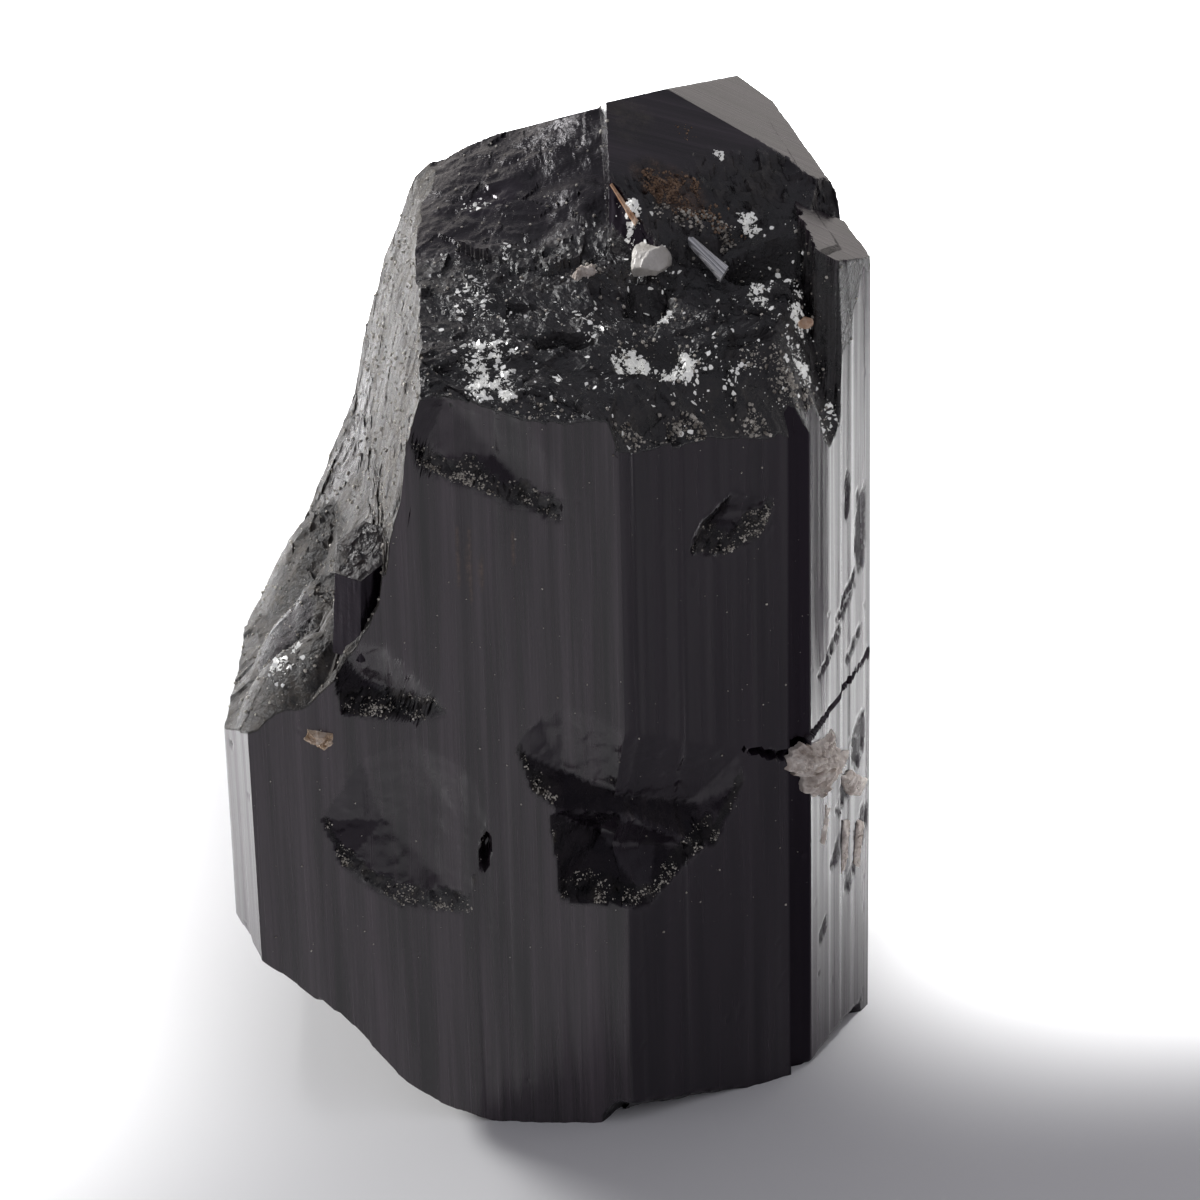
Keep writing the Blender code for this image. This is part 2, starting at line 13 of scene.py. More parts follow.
import bpy
import numpy as np
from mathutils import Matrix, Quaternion, Vector


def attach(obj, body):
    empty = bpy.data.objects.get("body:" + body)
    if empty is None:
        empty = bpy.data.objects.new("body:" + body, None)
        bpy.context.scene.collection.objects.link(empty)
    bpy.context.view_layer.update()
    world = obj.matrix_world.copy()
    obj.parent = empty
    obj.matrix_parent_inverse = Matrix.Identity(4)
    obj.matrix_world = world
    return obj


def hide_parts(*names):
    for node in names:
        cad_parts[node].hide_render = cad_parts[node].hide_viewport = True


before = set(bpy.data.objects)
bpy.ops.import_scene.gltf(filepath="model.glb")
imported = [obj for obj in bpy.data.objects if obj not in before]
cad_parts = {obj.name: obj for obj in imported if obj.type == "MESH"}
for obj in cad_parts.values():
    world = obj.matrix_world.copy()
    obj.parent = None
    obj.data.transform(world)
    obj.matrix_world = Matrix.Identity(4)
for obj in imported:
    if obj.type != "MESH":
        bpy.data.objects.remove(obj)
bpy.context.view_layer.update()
MM = 0.001

# %% [markdown]
# ## Camera
#
# The photograph looks down at about 30 degrees from straight in front, through a long lens. The
# camera could be set by eye, but the prism's upright edges and the foot give its place, so it is
# worked out: 276 mm from a point in the middle of the crystal, and turned a little.

# %% The camera
LOOK_AT = np.array((3.4, -1.8, 34.4))
ELEVATION = math.radians(30.0)
DISTANCE = 275.9
ROLL = math.radians(-1.3)


def make_camera():
    """A 120 mm lens at LOOK_AT minus DISTANCE times the direction it looks in."""
    data = bpy.data.cameras.new("camera")
    data.lens, data.sensor_width = 120.0, 36.0
    data.clip_start, data.clip_end = 0.01, 10.0
    camera = bpy.data.objects.new("camera", data)
    forward = np.array((0.0, math.cos(ELEVATION), -math.sin(ELEVATION)))
    camera.location = (LOOK_AT - forward * DISTANCE) * MM
    camera.rotation_mode = "QUATERNION"
    tip = Quaternion((1.0, 0.0, 0.0), math.pi / 2.0 - ELEVATION)
    camera.rotation_quaternion = tip @ Quaternion((0.0, 0.0, 1.0), ROLL)
    bpy.context.scene.collection.objects.link(camera)
    bpy.context.scene.camera = camera


make_camera()
print("camera", round(DISTANCE), "mm away")

# %% [markdown]
# ## Numbers shared with the solids
#
# scene.py can't read the part's source, so the section of the prism, its end faces, breaks and
# chips are given again here, in millimetres.

# %% Section, end faces and breaks
SECTION = np.array([
    (-22.1, -10.9), (-20.2, -14.5), (4.7, -15.8), (16.0, -10.6), (17.5, -9.25),
    (21.95, -2.25), (16.2, 12.6), (13.2, 14.8), (-13.2, 15.8), (-21.3, 2.8),
])
HALF_DEPTH = 15.8
COLUMN_HEIGHT = 72.0
FOOT_SPREAD = 0.035
PEAK = np.array((8.6, 6.6, 68.7))
# The compass direction and the tilt of each end face, in degrees.
RIGHT_END_FACE, BACK_END_FACE, FRONT_END_FACE = (87.0, 27.3), (207.0, 27.3), (20.0, 40.6)
LOWER_STEP_DROP = 1.5
# The edges in plan of the two blocks of grown face, and the steepness of the drop at each edge.
UPPER_BLOCK_EDGES = (
    ((4.4, 15.8), (4.6, 0.6)), ((4.6, 0.6), (7.8, -2.5)), ((7.8, -2.5), (16.6, 0.9)),
)
LOWER_BLOCK_EDGES = (
    ((16.9, 1.3), (17.9, -4.9)), ((17.9, -4.9), (19.3, -5.2)), ((19.3, -5.2), (21.9, -2.0)),
    ((20.0, 1.6), (16.9, 1.3)),
)
UPPER_BLOCK_STEEPS, LOWER_BLOCK_STEEPS = (34.0, 6.0, 6.0), (18.0, 18.0, 18.0, 18.0)
# Height and how far left the left break reaches there, at the front and at the back.
LEFT_BREAK_FRONT = np.array([
    (28.0, -30.0), (30.6, -22.0), (32.2, -20.1), (33.6, -16.7), (36.3, -14.2), (42.4, -10.6),
    (46.5, -10.2), (49.8, -9.3), (53.8, -8.7), (57.0, -7.6), (75.0, -6.5),
])
LEFT_BREAK_BACK = np.array([
    (26.0, -30.0), (29.9, -21.8), (33.8, -19.3), (35.7, -18.4), (38.0, -16.9), (42.4, -14.2),
    (46.4, -12.9), (52.7, -11.2), (58.8, -8.8), (60.5, -7.0), (75.0, -5.6),
])
# Distance to the right and height of the broken corner of the foot. It moves left towards the back.
FOOT_BREAK = np.array([
    (-26.0, 20.0), (-21.4, 15.4), (-19.9, 13.7), (-16.5, 10.6), (-13.9, 7.7), (-11.3, 4.1),
    (-8.6, 1.9), (-5.9, 0.5), (-3.6, -0.6), (30.0, -1.0),
])
FOOT_BREAK_FADE = 0.25
# The middle of each pit, its half length and half width, its turn and its depth.
PITS = (
    (1.5, -8.2, 2.2, 1.0, 8.0, 1.9), (7.0, -5.0, 1.7, 1.5, 0.0, 1.8),
    (6.8, -9.6, 2.4, 1.6, 0.0, 1.6), (18.4, -6.6, 1.0, 1.3, 0.0, 1.6),
    (15.0, -2.6, 3.0, 1.7, 8.0, 2.6), (7.3, -13.4, 1.9, 0.8, 15.0, 1.1),
)
print("section with", len(SECTION), "corners, peak", PEAK[2], "mm up,", len(PITS), "pits")

# %% [markdown]
# ## Noise to break stone with
#
# Stone has no two places alike, so every surface needs random relief that comes out the same at
# each run. Blender's own noise works one point at a time. Here the numbers of a lattice cell are
# mixed into a fixed random number, for whole arrays at once, and everything rough is built on it.

# %% Hash and smooth noise


def hashed(*whole):
    """A fixed random number from 0 to 1 for each set of whole numbers, mixed by products."""
    bits = np.uint32(2166136261)
    for number, prime in zip(whole, (374761393, 668265263, 2246822519, 3266489917)):
        number = np.asarray(number).astype(np.int64).astype(np.uint32)
        bits = (bits ^ (number * np.uint32(prime))) * np.uint32(1274126177)
        bits = bits ^ (bits >> np.uint32(15))
    bits = (bits ^ (bits >> np.uint32(13))) * np.uint32(2246822519)
    return (bits ^ (bits >> np.uint32(16))) / 2.0 ** 32


def smooth_noise(*coords):
    """Noise from -1 to 1: the cell corners' numbers, blended by 3 t t - 2 t t t along each axis."""
    coords = np.broadcast_arrays(*coords)
    base = [np.floor(c) for c in coords]
    blend = [(c - b) ** 2 * (3.0 - 2.0 * (c - b)) for c, b in zip(coords, base)]
    total = 0.0
    for corner in itertools.product((0, 1), repeat=len(coords)):
        weight = 1.0
        for part, side in zip(blend, corner):
            weight = weight * (part if side else 1.0 - part)
        total = total + weight * hashed(*[b + side for b, side in zip(base, corner)])
    return 2.0 * total - 1.0


def layered(a, b, seed, layers=4):
    """Layers of smooth noise, each twice as fine and half as high as the last."""
    total = 0.0
    for layer in range(layers):
        fine = 2.0 ** layer
        total = total + smooth_noise(a * fine + 17.3 * layer, b * fine, seed + 0.5) / fine
    return total


print("noise ready, for instance", round(float(smooth_noise(0.3, 0.4, 0.5)), 4))

# %% [markdown]
# ## Broken flats and soft spots
#
# Stone that breaks shows small flat planes at odd angles, which smooth noise never gives. A
# Voronoi pattern does: each of its cells is one tilted plane. Soft spots and ramps then say where
# a thing is and how it fades.

# %% Flats, ramps and spots


def flats(a, b, seed, slope=1.0):
    """Broken flats from about -1 to 1: each Voronoi cell is a plane with a level and a slope."""
    ia, ib = np.floor(a), np.floor(b)
    nearest = np.full(np.shape(a), 9.0)
    height = np.zeros(np.shape(a))
    for da, db in itertools.product((-1, 0, 1), repeat=2):
        ca, cb = ia + da, ib + db
        from_a = a - ca - hashed(ca, cb, seed)
        from_b = b - cb - hashed(ca, cb, seed + 1)
        away = np.hypot(from_a, from_b)
        tilt_a, tilt_b = (2.0 * hashed(ca, cb, seed + k) - 1.0 for k in (2, 3))
        level = 1.2 * (hashed(ca, cb, seed + 4) - 0.5)
        plane = level + slope * (tilt_a * from_a + tilt_b * from_b)
        height = np.where(away < nearest, plane, height)
        nearest = np.minimum(nearest, away)
    return height


def ramp(value, low, high):
    """0 below low, 1 above high, and smooth between them."""
    t = np.clip((value - low) / (high - low), 0.0, 1.0)
    return t * t * (3.0 - 2.0 * t)


def blob(a, b, place, half, turn=0.0):
    """1 at a place, falling to 0 at an ellipse with these half sizes, turned in degrees."""
    angle = math.radians(turn)
    da, db = a - place[0], b - place[1]
    u = (da * math.cos(angle) + db * math.sin(angle)) / half[0]
    v = (db * math.cos(angle) - da * math.sin(angle)) / half[1]
    return np.clip(1.0 - u * u - v * v, 0.0, 1.0)


print("flats like", np.round(flats(np.arange(3) + 0.5, np.zeros(3) + 0.5, 31), 2))

# %% [markdown]
# ## The striated walls
#
# Tourmaline grows with fine grooves along its length. They could be a bump texture alone, but the
# right-hand face shows them at a grazing angle, where only real steps catch the light. So a wall
# is a function of two numbers, the distance u round the section and the height z. Its depth below
# the plain face adds up shallow strips, fine grooves, chips and the crack.

# %% The outline and its strips
CORNERS = np.concatenate(([0.0], np.cumsum(np.hypot(*(np.roll(SECTION, -1, 0) - SECTION).T))))
PERIMETER = CORNERS[-1]
STRIP_WIDTHS, STRIP_DEPTH, STRIP_STEP, STRIP_LEAN = (0.9, 2.6), 0.16, 0.22, 0.09


def strip_table():
    """Distances round the outline, and how far the strips are set back there.

    The solid's strips are flat. Here each also leans a little, so that neighbours mirror other
    parts of the room and stand out from each other.
    """
    dice, lean = random.Random(7), random.Random(5)
    at, inset = [], []
    for start, end in zip(CORNERS, CORNERS[1:]):
        at.append(start)
        inset.append(0.0)
        place, setback = dice.uniform(*STRIP_WIDTHS), 0.0
        while place < end - start - STRIP_WIDTHS[0]:
            at += [start + place, start + place + STRIP_STEP]
            inset.append(setback + lean.uniform(-STRIP_LEAN, STRIP_LEAN))
            setback = dice.uniform(0.0, STRIP_DEPTH)
            inset.append(setback + lean.uniform(-STRIP_LEAN, STRIP_LEAN))
            place += dice.uniform(*STRIP_WIDTHS)
    return np.array(at + [PERIMETER]), np.array(inset + [0.0])


STRIP_AT, STRIP_INSET = strip_table()


def outline(u):
    """Place on the section at distance u, and the outward direction, turned evenly at corners."""
    u = np.mod(u, PERIMETER)
    loop = np.vstack((SECTION, SECTION[:1]))
    x, y = np.interp(u, CORNERS, loop[:, 0]), np.interp(u, CORNERS, loop[:, 1])
    run = (loop[1:] - loop[:-1]) / np.diff(CORNERS)[:, None]
    angles = np.unwrap(np.arctan2(-run[:, 0], run[:, 1]))
    angles = np.concatenate(([angles[-1] - 2.0 * math.pi], angles, [angles[0] + 2.0 * math.pi]))
    edges, turned, half = [], [], 0.15
    for number, corner in enumerate(CORNERS):
        edges += [corner - half, corner + half]
        turned += [angles[number], angles[number + 1]]
    angle = np.interp(u, edges, turned)
    return x, y, np.cos(angle), np.sin(angle)


def nearest_u(x, y):
    """The distance round the outline of the point on it nearest to (x, y)."""
    u = np.linspace(0.0, PERIMETER, 4000)
    px, py, _, _ = outline(u)
    return float(u[np.argmin(np.hypot(px - x, py - y))])


print("outline", round(PERIMETER, 1), "mm round, with", len(STRIP_AT), "strip edges")

# %% [markdown]
# ## Chips
#
# Flakes have come off the front faces. Each left a few flat facets that meet under the face. A
# chip is the lowest of several planes: every plane runs through three of its points and lies on or
# over the others, like a tent held up by poles, and the tent's height is the chip's depth.

# %% Chips as tents
# The points of each chip's edge on the face (x, z), and the poles under it (x, z, depth).
FRONT_CHIPS = (
    (((-9.4, 58.0), (-2.0, 58.0), (-2.8, 55.6), (1.6, 49.8), (1.3, 48.0), (-4.1, 50.2),
      (-8.2, 52.0)),
     ((-3.2, 52.6, 1.1), (-6.2, 56.5, 1.0))),
    (((9.2, 44.3), (10.0, 46.6), (12.2, 48.3), (15.1, 47.0), (14.2, 44.4), (11.3, 43.6)),
     ((11.6, 46.2, 1.2), (13.6, 46.0, 0.7))),
    (((-14.6, 39.6), (-10.6, 39.0), (-9.4, 35.6), (-6.6, 33.7), (-8.7, 32.9), (-14.0, 33.4)),
     ((-12.4, 35.6, 1.4), (-9.6, 34.4, 0.7))),
    (((-15.8, 25.3), (-12.8, 30.1), (-9.4, 31.5), (-5.5, 29.3), (-4.3, 24.5), (-5.9, 17.6),
      (-10.7, 18.0), (-14.6, 21.2)),
     ((-11.6, 24.3, 1.5), (-8.0, 26.6, 1.2), (-8.2, 20.6, 0.9))),
    (((-2.6, 31.0), (-0.7, 33.6), (0.9, 34.3), (12.6, 28.2), (13.0, 25.9), (10.9, 21.2),
      (1.4, 25.2), (-1.6, 27.8)),
     ((0.6, 28.4, 1.6), (9.6, 24.0, 1.8), (4.0, 26.4, 2.1))),
    (((-0.4, 26.0), (5.2, 26.6), (10.2, 21.6), (6.3, 17.9), (0.2, 18.7)),
     ((3.0, 22.6, 3.0), (6.6, 21.6, 2.1))),
    (((2.6, -3.0), (2.7, 0.6), (3.9, 1.9), (6.0, 1.5), (11.4, 0.5), (14.4, -0.3), (14.0, -3.0)),
     ((4.2, -0.2, 2.3), (11.0, -1.4, 2.1))),
    (((16.9, -3.0), (17.4, 0.3), (20.4, 0.5), (21.8, 1.2), (21.9, -3.0)),
     ((19.0, -1.2, 1.5), (20.6, -1.2, 1.7))),
)
# Places (x, y, z) of the chips at the back, their half sizes, depth and turn.
BACK_CHIPS = (
    ((2.0, 15.2, 46.0), (5.2, 2.8), 0.9, 40.0), ((-9.0, 15.6, 12.0), (3.0, 4.6), 0.9, -15.0),
    ((18.6, 7.0, 21.0), (2.2, 4.4), 0.9, 24.0),
)


def tent_planes(edge, poles):
    """Planes (a, b, c) of the tent over a chip, with depth a x + b z + c."""
    points = np.array([(x, z, 0.0) for x, z in edge] + list(poles))
    planes = []
    for three in itertools.combinations(points, 3):
        matrix = np.array([(p[0], p[1], 1.0) for p in three])
        if abs(np.linalg.det(matrix)) > 1e-3:
            plane = np.linalg.solve(matrix, np.array([p[2] for p in three]))
            if np.all(points[:, :2] @ plane[:2] + plane[2] >= points[:, 2] - 1e-6):
                planes.append(plane)
    return np.array(planes)


CHIP_PLANES = [tent_planes(edge, poles) for edge, poles in FRONT_CHIPS]
BACK_CHIP_U = [nearest_u(place[0], place[1]) for place, _, _, _ in BACK_CHIPS]
print("chips of", [len(planes) for planes in CHIP_PLANES], "facets")

# %% [markdown]
# ## How deep and how dim the chips are
#
# On the stone the facets wander and are dented, and their lower edges are grainy. The same tents
# give three things: the depth to cut, the painted shade of each facet, and the band for the grains.

# %% Depth and look of the chips


def chip_facets(x, z):
    """Depth of the front chips, the lowest plane of each tent, and the painted shade of each facet.

    A facet that turns to the right or up would mirror the dim side of the room, as the near right
    face does. So it gets painted shade by its two slopes.
    """
    wander = 0.15 * layered(x * 0.9, z * 0.9, 3, 3)
    drift = 0.15 * layered(x * 0.9, z * 0.9, 5, 3)
    depth, painted_shade = np.zeros(np.shape(x)), np.zeros(np.shape(x))
    for planes in CHIP_PLANES:
        low = np.full(np.shape(x), 9.0)
        tone = np.zeros(np.shape(x))
        for a, b, c in planes:
            plane = a * (x + wander) + b * (z + drift) + c
            # Painted shade of this facet, from how far it turns right or up.
            turned = 0.8 * math.hypot(a, b) + 0.9 * max(a, 0.0) + 0.3 * max(b, 0.0)
            tone = np.where(plane < low, ramp(turned, 0.22, 0.8), tone)
            low = np.minimum(low, plane)
        painted_shade = np.where(low > np.maximum(depth, 0.02), tone, painted_shade)
        depth = np.maximum(depth, low)
    return depth, painted_shade


def chip_depth(x, z):
    """Depth of the front chips with small broken flats on them."""
    depth, _ = chip_facets(x, z)
    broken = flats(x / 1.3, z / 1.0, 31)
    crumbs = flats(x / 0.45, z / 0.4, 37)
    inside = ramp(depth, 0.0, 0.5)
    return depth + inside * (0.05 * broken + 0.01 * crumbs)


def lower_band(x, z, reach=1.7):
    """1 in the lower, grainy part of a chip: inside it, with its edge within reach below."""
    wander = 0.5 * layered(x / 1.5, z / 1.5, 7, 3)
    return ramp(chip_depth(x, z), 0.02, 0.15) * (chip_depth(x, z - reach + wander) < 0.02)


print("depth in a chip:", round(float(chip_depth(np.array(3.0), np.array(22.6))), 1), "mm")

# %% [markdown]
# ## The crack
#
# A crack runs over the dark strip and the edge and climbs the right-hand face, and feldspar fills
# its widest part. It could be cut out with a boolean, which leaves long thin triangles. Here it is
# one more depth under the wall: a wedge along a line of straight runs.

# %% The crack as a wedge
CRACK_DEEP = 1.1
CRACK_WIDTHS = (0.10, 0.30, 0.42, 0.30, 0.20, 0.15, 0.10)
CRACK = np.array([
    (12.9, -12.1, 28.4), (14.6, -11.3, 27.4), (16.1, -10.6, 27.0), (17.5, -9.2, 27.4),
    (19.0, -7.0, 28.3), (20.5, -4.6, 29.2), (22.0, -2.3, 30.1),
])
CRACK_U = np.array([nearest_u(x, y) for x, y, _ in CRACK])


def crack_depth(u, z):
    """Depth of the crack: a wedge under a line of straight runs, thinner towards its ends."""
    depth = np.zeros(np.shape(u))
    wobble = z + 0.12 * layered(u * 1.3, z * 0.4, 9, 3)
    for k in range(len(CRACK) - 1):
        du, dz = CRACK_U[k + 1] - CRACK_U[k], CRACK[k + 1, 2] - CRACK[k, 2]
        share = np.clip(((u - CRACK_U[k]) * du + (wobble - CRACK[k, 2]) * dz)
                        / (du * du + dz * dz), 0.0, 1.0)
        away = np.hypot(u - CRACK_U[k] - share * du, wobble - CRACK[k, 2] - share * dz)
        width = CRACK_WIDTHS[k] + (CRACK_WIDTHS[k + 1] - CRACK_WIDTHS[k]) * share
        depth = np.maximum(depth, CRACK_DEEP * (1.0 - away / width))
    return depth


print("crack", round(CRACK_U[-1] - CRACK_U[0], 1), "mm long round the outline")

# %% [markdown]
# ## Flaked streaks on the right-hand face
#
# Dark, slanted streaks cross the bright right-hand face, where thin flakes have come off. Painted
# streaks would mirror the ground as the face does. So each is a shallow saw-tooth of little steps
# that turn away from the bright ground, and looks dark for the same reason as the real one.

# %% Streaks
# How far across the face each streak is, from 0 to 1, its height and its half sizes.
SMEARS = (
    (0.84, 40.4, (0.9, 3.6)), (0.62, 44.0, (0.35, 2.0)), (0.35, 33.0, (1.8, 0.35)),
    (0.50, 34.6, (2.4, 0.40)), (0.62, 36.4, (2.0, 0.45)), (0.75, 32.0, (1.4, 0.50)),
    (0.30, 25.0, (0.9, 0.80)), (0.55, 20.4, (1.2, 1.40)), (0.80, 23.5, (1.0, 2.20)),
    (0.45, 16.2, (1.0, 1.10)), (0.88, 16.5, (0.9, 1.80)), (0.68, 12.8, (0.8, 0.90)),
    (0.20, 10.6, (0.6, 0.70)),
)
SMEAR_SLANT, SMEAR_TURN, SMEAR_STEP = 0.9, 0.30, 0.55


def smears(u, z):
    """1 on the flaked streaks of the right-hand face and 0 off them, slanted and ragged."""
    total = np.zeros(np.shape(u))
    for share, height, half in SMEARS:
        at = CORNERS[4] + share * (CORNERS[5] - CORNERS[4])
        uneven = 0.5 * layered(u / 0.35, z / 1.4, 103, 3)
        spot = blob(u, z - SMEAR_SLANT * (u - at), (at, height), half)
        total = np.maximum(total, ramp(spot + uneven * (spot > 0.0), 0.15, 0.4))
    return total


print(len(SMEARS), "streaks")

# %% [markdown]
# ## The wall
#
# All these depths are added up and taken off the plain face along the way it looks. Two larger
# turns are added: the front edge of the right-hand face leans forward higher up, and the narrow
# strip before it is set back, so that each mirrors the part of the room that it does in the
# photograph.

# %% Relief of the wall
STRIP_FADE = 0.38
# Depth, width and length of the grooves, and the seed of each kind.
GROOVES = ((0.030, 0.42, 30.0, 1.5), (0.016, 0.21, 22.0, 2.5), (0.05, 5.0, 25.0, 3.5))
FORWARD_LEAN, BEVEL_SETBACK = 0.24, 1.05
SLIT_U = float(np.interp(-4.7, SECTION[1:6, 0], CORNERS[1:6]))
SLIT_PLACE, SLIT_HALF, SLIT_TURN, SLIT_DEEP = (SLIT_U, 22.7), (0.34, 1.7), -6.0, 1.5


def relief(u, z, x):
    """Depth below the plain face: strips, grooves, nicks, leans, slit, streaks and chips added up.

    Of the chips and the crack the deeper one counts.
    """
    fade = 1.0 - STRIP_FADE + STRIP_FADE * smooth_noise(u / 2.0, z / 13.0, 8.5)
    depth = np.interp(u, STRIP_AT, STRIP_INSET) * fade
    for deep, width, length, seed in GROOVES:
        depth = depth + deep * smooth_noise(u / width, z / length, seed)
    depth = depth + 0.10 * ramp(smooth_noise(u / 0.5, z / 0.9, 4.5), 0.72, 0.9)
    forward = np.clip(CORNERS[4] + 2.6 - u, 0.0, 2.6) * (u > CORNERS[4]) * ramp(z, 26.0, 38.0)
    depth = depth + FORWARD_LEAN * forward
    bevel = np.clip((CORNERS[4] - u) / (CORNERS[4] - CORNERS[3]), 0.0, 1.0)
    depth = depth + BEVEL_SETBACK * bevel * ramp(u, CORNERS[3], CORNERS[3] + 0.12)
    depth = depth + SLIT_DEEP * blob(u, z, SLIT_PLACE, SLIT_HALF, SLIT_TURN)
    turn = 1.0 - np.mod((u + 0.2 * smooth_noise(u, z / 2.0, 105.5)) / SMEAR_STEP, 1.0)
    depth = depth + smears(u, z) * (0.03 + SMEAR_TURN * SMEAR_STEP * turn)
    grainy = flats(x / 0.32, z / 0.28, 38, 1.2)
    depth = depth + 0.17 * lower_band(x, z) * grainy * (u > CORNERS[1]) * (u < CORNERS[3] + 0.5)
    front = (u > CORNERS[1] - 0.3) & (u < CORNERS[5] + 0.2)
    depth = depth + np.where(front, np.maximum(chip_depth(x, z), crack_depth(u, z)), 0.0)
    ragged_u, ragged_z = (1.5 * layered(u / 3.4, z / 3.4, seed, 2) for seed in (43, 44))
    for at, (place, half, bite, turn) in zip(BACK_CHIP_U, BACK_CHIPS):
        dish = blob(u + ragged_u, z + ragged_z, (at, place[2]), half, turn)
        depth = depth + bite * dish + 0.12 * ramp(dish, 0.0, 0.3) * flats(u, z, 41)
    return depth


def plain_wall(u, z):
    """The wall without relief at distance u and height z, and the way it faces.

    It widens to the foot: x is times 1 + FOOT_SPREAD (1/2 - z / COLUMN_HEIGHT).
    """
    x, y, nx, ny = outline(u)
    return x * (1.0 + FOOT_SPREAD * (0.5 - z / COLUMN_HEIGHT)), y, nx, ny


def wall_point(u, z):
    """The wall at distance u and height z: the plain wall, moved in by its relief."""
    x, y, nx, ny = plain_wall(u, z)
    depth = relief(np.mod(u, PERIMETER), z, x)
    return x - nx * depth, y - ny * depth


print("wall at the left front edge", [round(float(v), 2) for v in wall_point(CORNERS[1], 20.0)])

# %% [markdown]
# ## The floor and the end faces
#
# The broken top has a slanted floor, and three faces that grew at the crystal's end. They could be
# cut one by one. Here each is a height over the plan instead, and so are the pits, because then the
# top is simply the lowest or the highest of several heights.

# %% Heights over the plan
FLOOR_LEVEL, FLOOR_SLOPES, FLOOR_TWIST = 59.56, (0.137, 0.2465), 0.0193
FRONT_EDGE, FRONT_EDGE_SLOPE = (4.7, 53.1), 0.14


def end_plane(face, x, y):
    """Height of a grown end face through the peak, from its compass direction and its tilt."""
    direction, tilt = (math.radians(v) for v in face)
    away = (x - PEAK[0]) * math.sin(direction) - (y - PEAK[1]) * math.cos(direction)
    return PEAK[2] - away * math.tan(tilt)


def past(edges, x, y, steeps=None):
    """How far (x, y) lies outside a block that is on the left of these edges; negative inside.

    With a steepness for each edge it is the drop there: the largest distance times steepness.
    """
    worst = np.full(np.shape(x), -99.0)
    for ((ax, ay), (bx, by)), steep in zip(edges, steeps or [1.0] * len(edges)):
        away = ((by - ay) * (x - ax) - (bx - ax) * (y - ay)) / math.hypot(bx - ax, by - ay)
        worst = np.maximum(worst, steep * away)
    return worst


def pit_depth(x, y):
    """Depth of the pits: each is a bowl with a steep edge, 1 minus the cube of the radius."""
    x = x + 0.25 * layered(x * 0.8, y * 0.8, 11, 3)
    y = y + 0.25 * layered(x * 0.8, y * 0.8, 12, 3)
    depth = np.zeros(np.shape(x))
    for px, py, length, width, turn, full in PITS:
        inside = blob(x, y, (px, py), (length, width), turn)
        depth = np.maximum(depth, full * (1.0 - (1.0 - inside) ** 1.5))
    return depth


def floor_height(x, y):
    """The slanted floor, and the steeper band that it falls away in at the front right."""
    floor = FLOOR_LEVEL + FLOOR_SLOPES[0] * x + FLOOR_SLOPES[1] * y + FLOOR_TWIST * x * y
    floor = floor + 1.2 * ramp(y, 8.0, 13.5) * ramp(x, -1.5, 3.5)
    inward = -np.maximum(past([(SECTION[2], SECTION[3])], x, y),
                         past([(SECTION[4], SECTION[5])], x, y))
    start, level = FRONT_EDGE
    edge = level - FRONT_EDGE_SLOPE * (x - start) - 0.4 * np.maximum(0.0, x - 16.0)
    steep = 1.0 + 0.17 * np.clip(x - 9.0, 0.0, 8.0)
    return np.minimum(floor, edge + steep * inward + 3.0 * np.maximum(0.0, start - x))


print("floor in the middle", round(float(floor_height(0.0, 0.0)), 1), "mm up")

# %% [markdown]
# ## The left break
#
# The left break is steep, so a height over the plan is hard to give for it. It is known by how
# far left it reaches at each height, and its height at a place is found by halving the range
# until the reach fits. Fibres and flats roughen it, more towards its foot.

# %% Height of the left break
LEFT_LOW, LEFT_HIGH = 24.0, 76.0
# The middle of each lump on the left break, its half sizes, height and turn.
LEFT_LUMPS = (
    ((-17.6, -11.6), (3.6, 3.4), 3.0, 10.0), ((-17.2, -5.6), (3.2, 3.4), 2.6, 40.0),
    ((-17.6, 3.0), (2.8, 4.2), 2.6, 0.0), ((-13.2, -10.4), (2.2, 2.4), 2.4, 30.0),
)


def left_height(x, y):
    """Height of the left break where its reach equals x, found by halving."""
    share = (y + HALF_DEPTH) / (2.0 * HALF_DEPTH)
    low, high = np.full(np.shape(x), LEFT_LOW), np.full(np.shape(x), LEFT_HIGH)
    for _ in range(18):
        middle = (low + high) / 2.0
        reach = (np.interp(middle, *LEFT_BREAK_FRONT.T) * (1.0 - share)
                 + np.interp(middle, *LEFT_BREAK_BACK.T) * share)
        low, high = np.where(reach < x, middle, low), np.where(reach < x, high, middle)
    return low


def left_detail(y, z):
    """How far the left break stands to the right of its plain shape: fibres, flats and crumbs."""
    fibres = (0.07 * smooth_noise(y / 0.8, z / 9.0, 21.5)
              + 0.03 * smooth_noise(y / 0.3, z / 5.0, 22.5))
    warp = 0.5 * smooth_noise(y / 2.0, z / 2.0, 23.5)
    roll = 0.3 * layered(y / 4.0, z / 6.0, 24, 3)
    big = flats(y / 3.4 + warp * 0.3, z / 5.5, 51)
    middle = flats(y / 1.3, z / 2.0 + warp, 57)
    small = flats(y / 0.5, z / 0.55, 63)
    low = 1.0 - ramp(z, 38.0, 50.0)
    rough = (0.06 + 0.16 * low) * big + (0.025 + 0.13 * low) * middle + (0.02 + 0.04 * low) * small
    return fibres + roll + rough


print("left break at its middle", round(float(left_height(-14.0, 0.0)), 1), "mm up")

# %% [markdown]
# ## The whole top
#
# Stone that breaks leaves flats of many sizes, so the floor gets broken flats in four sizes. The
# top is then put together, and each point is labelled with the surface that it is on, because
# the finish and the crumbs need to know.

# %% Top as one height
# The rusty hollow at the foot of the front end face: its middle, half sizes and turn.
RUST_SPOT = ((8.6, 1.0), (2.9, 1.4), -14.0)


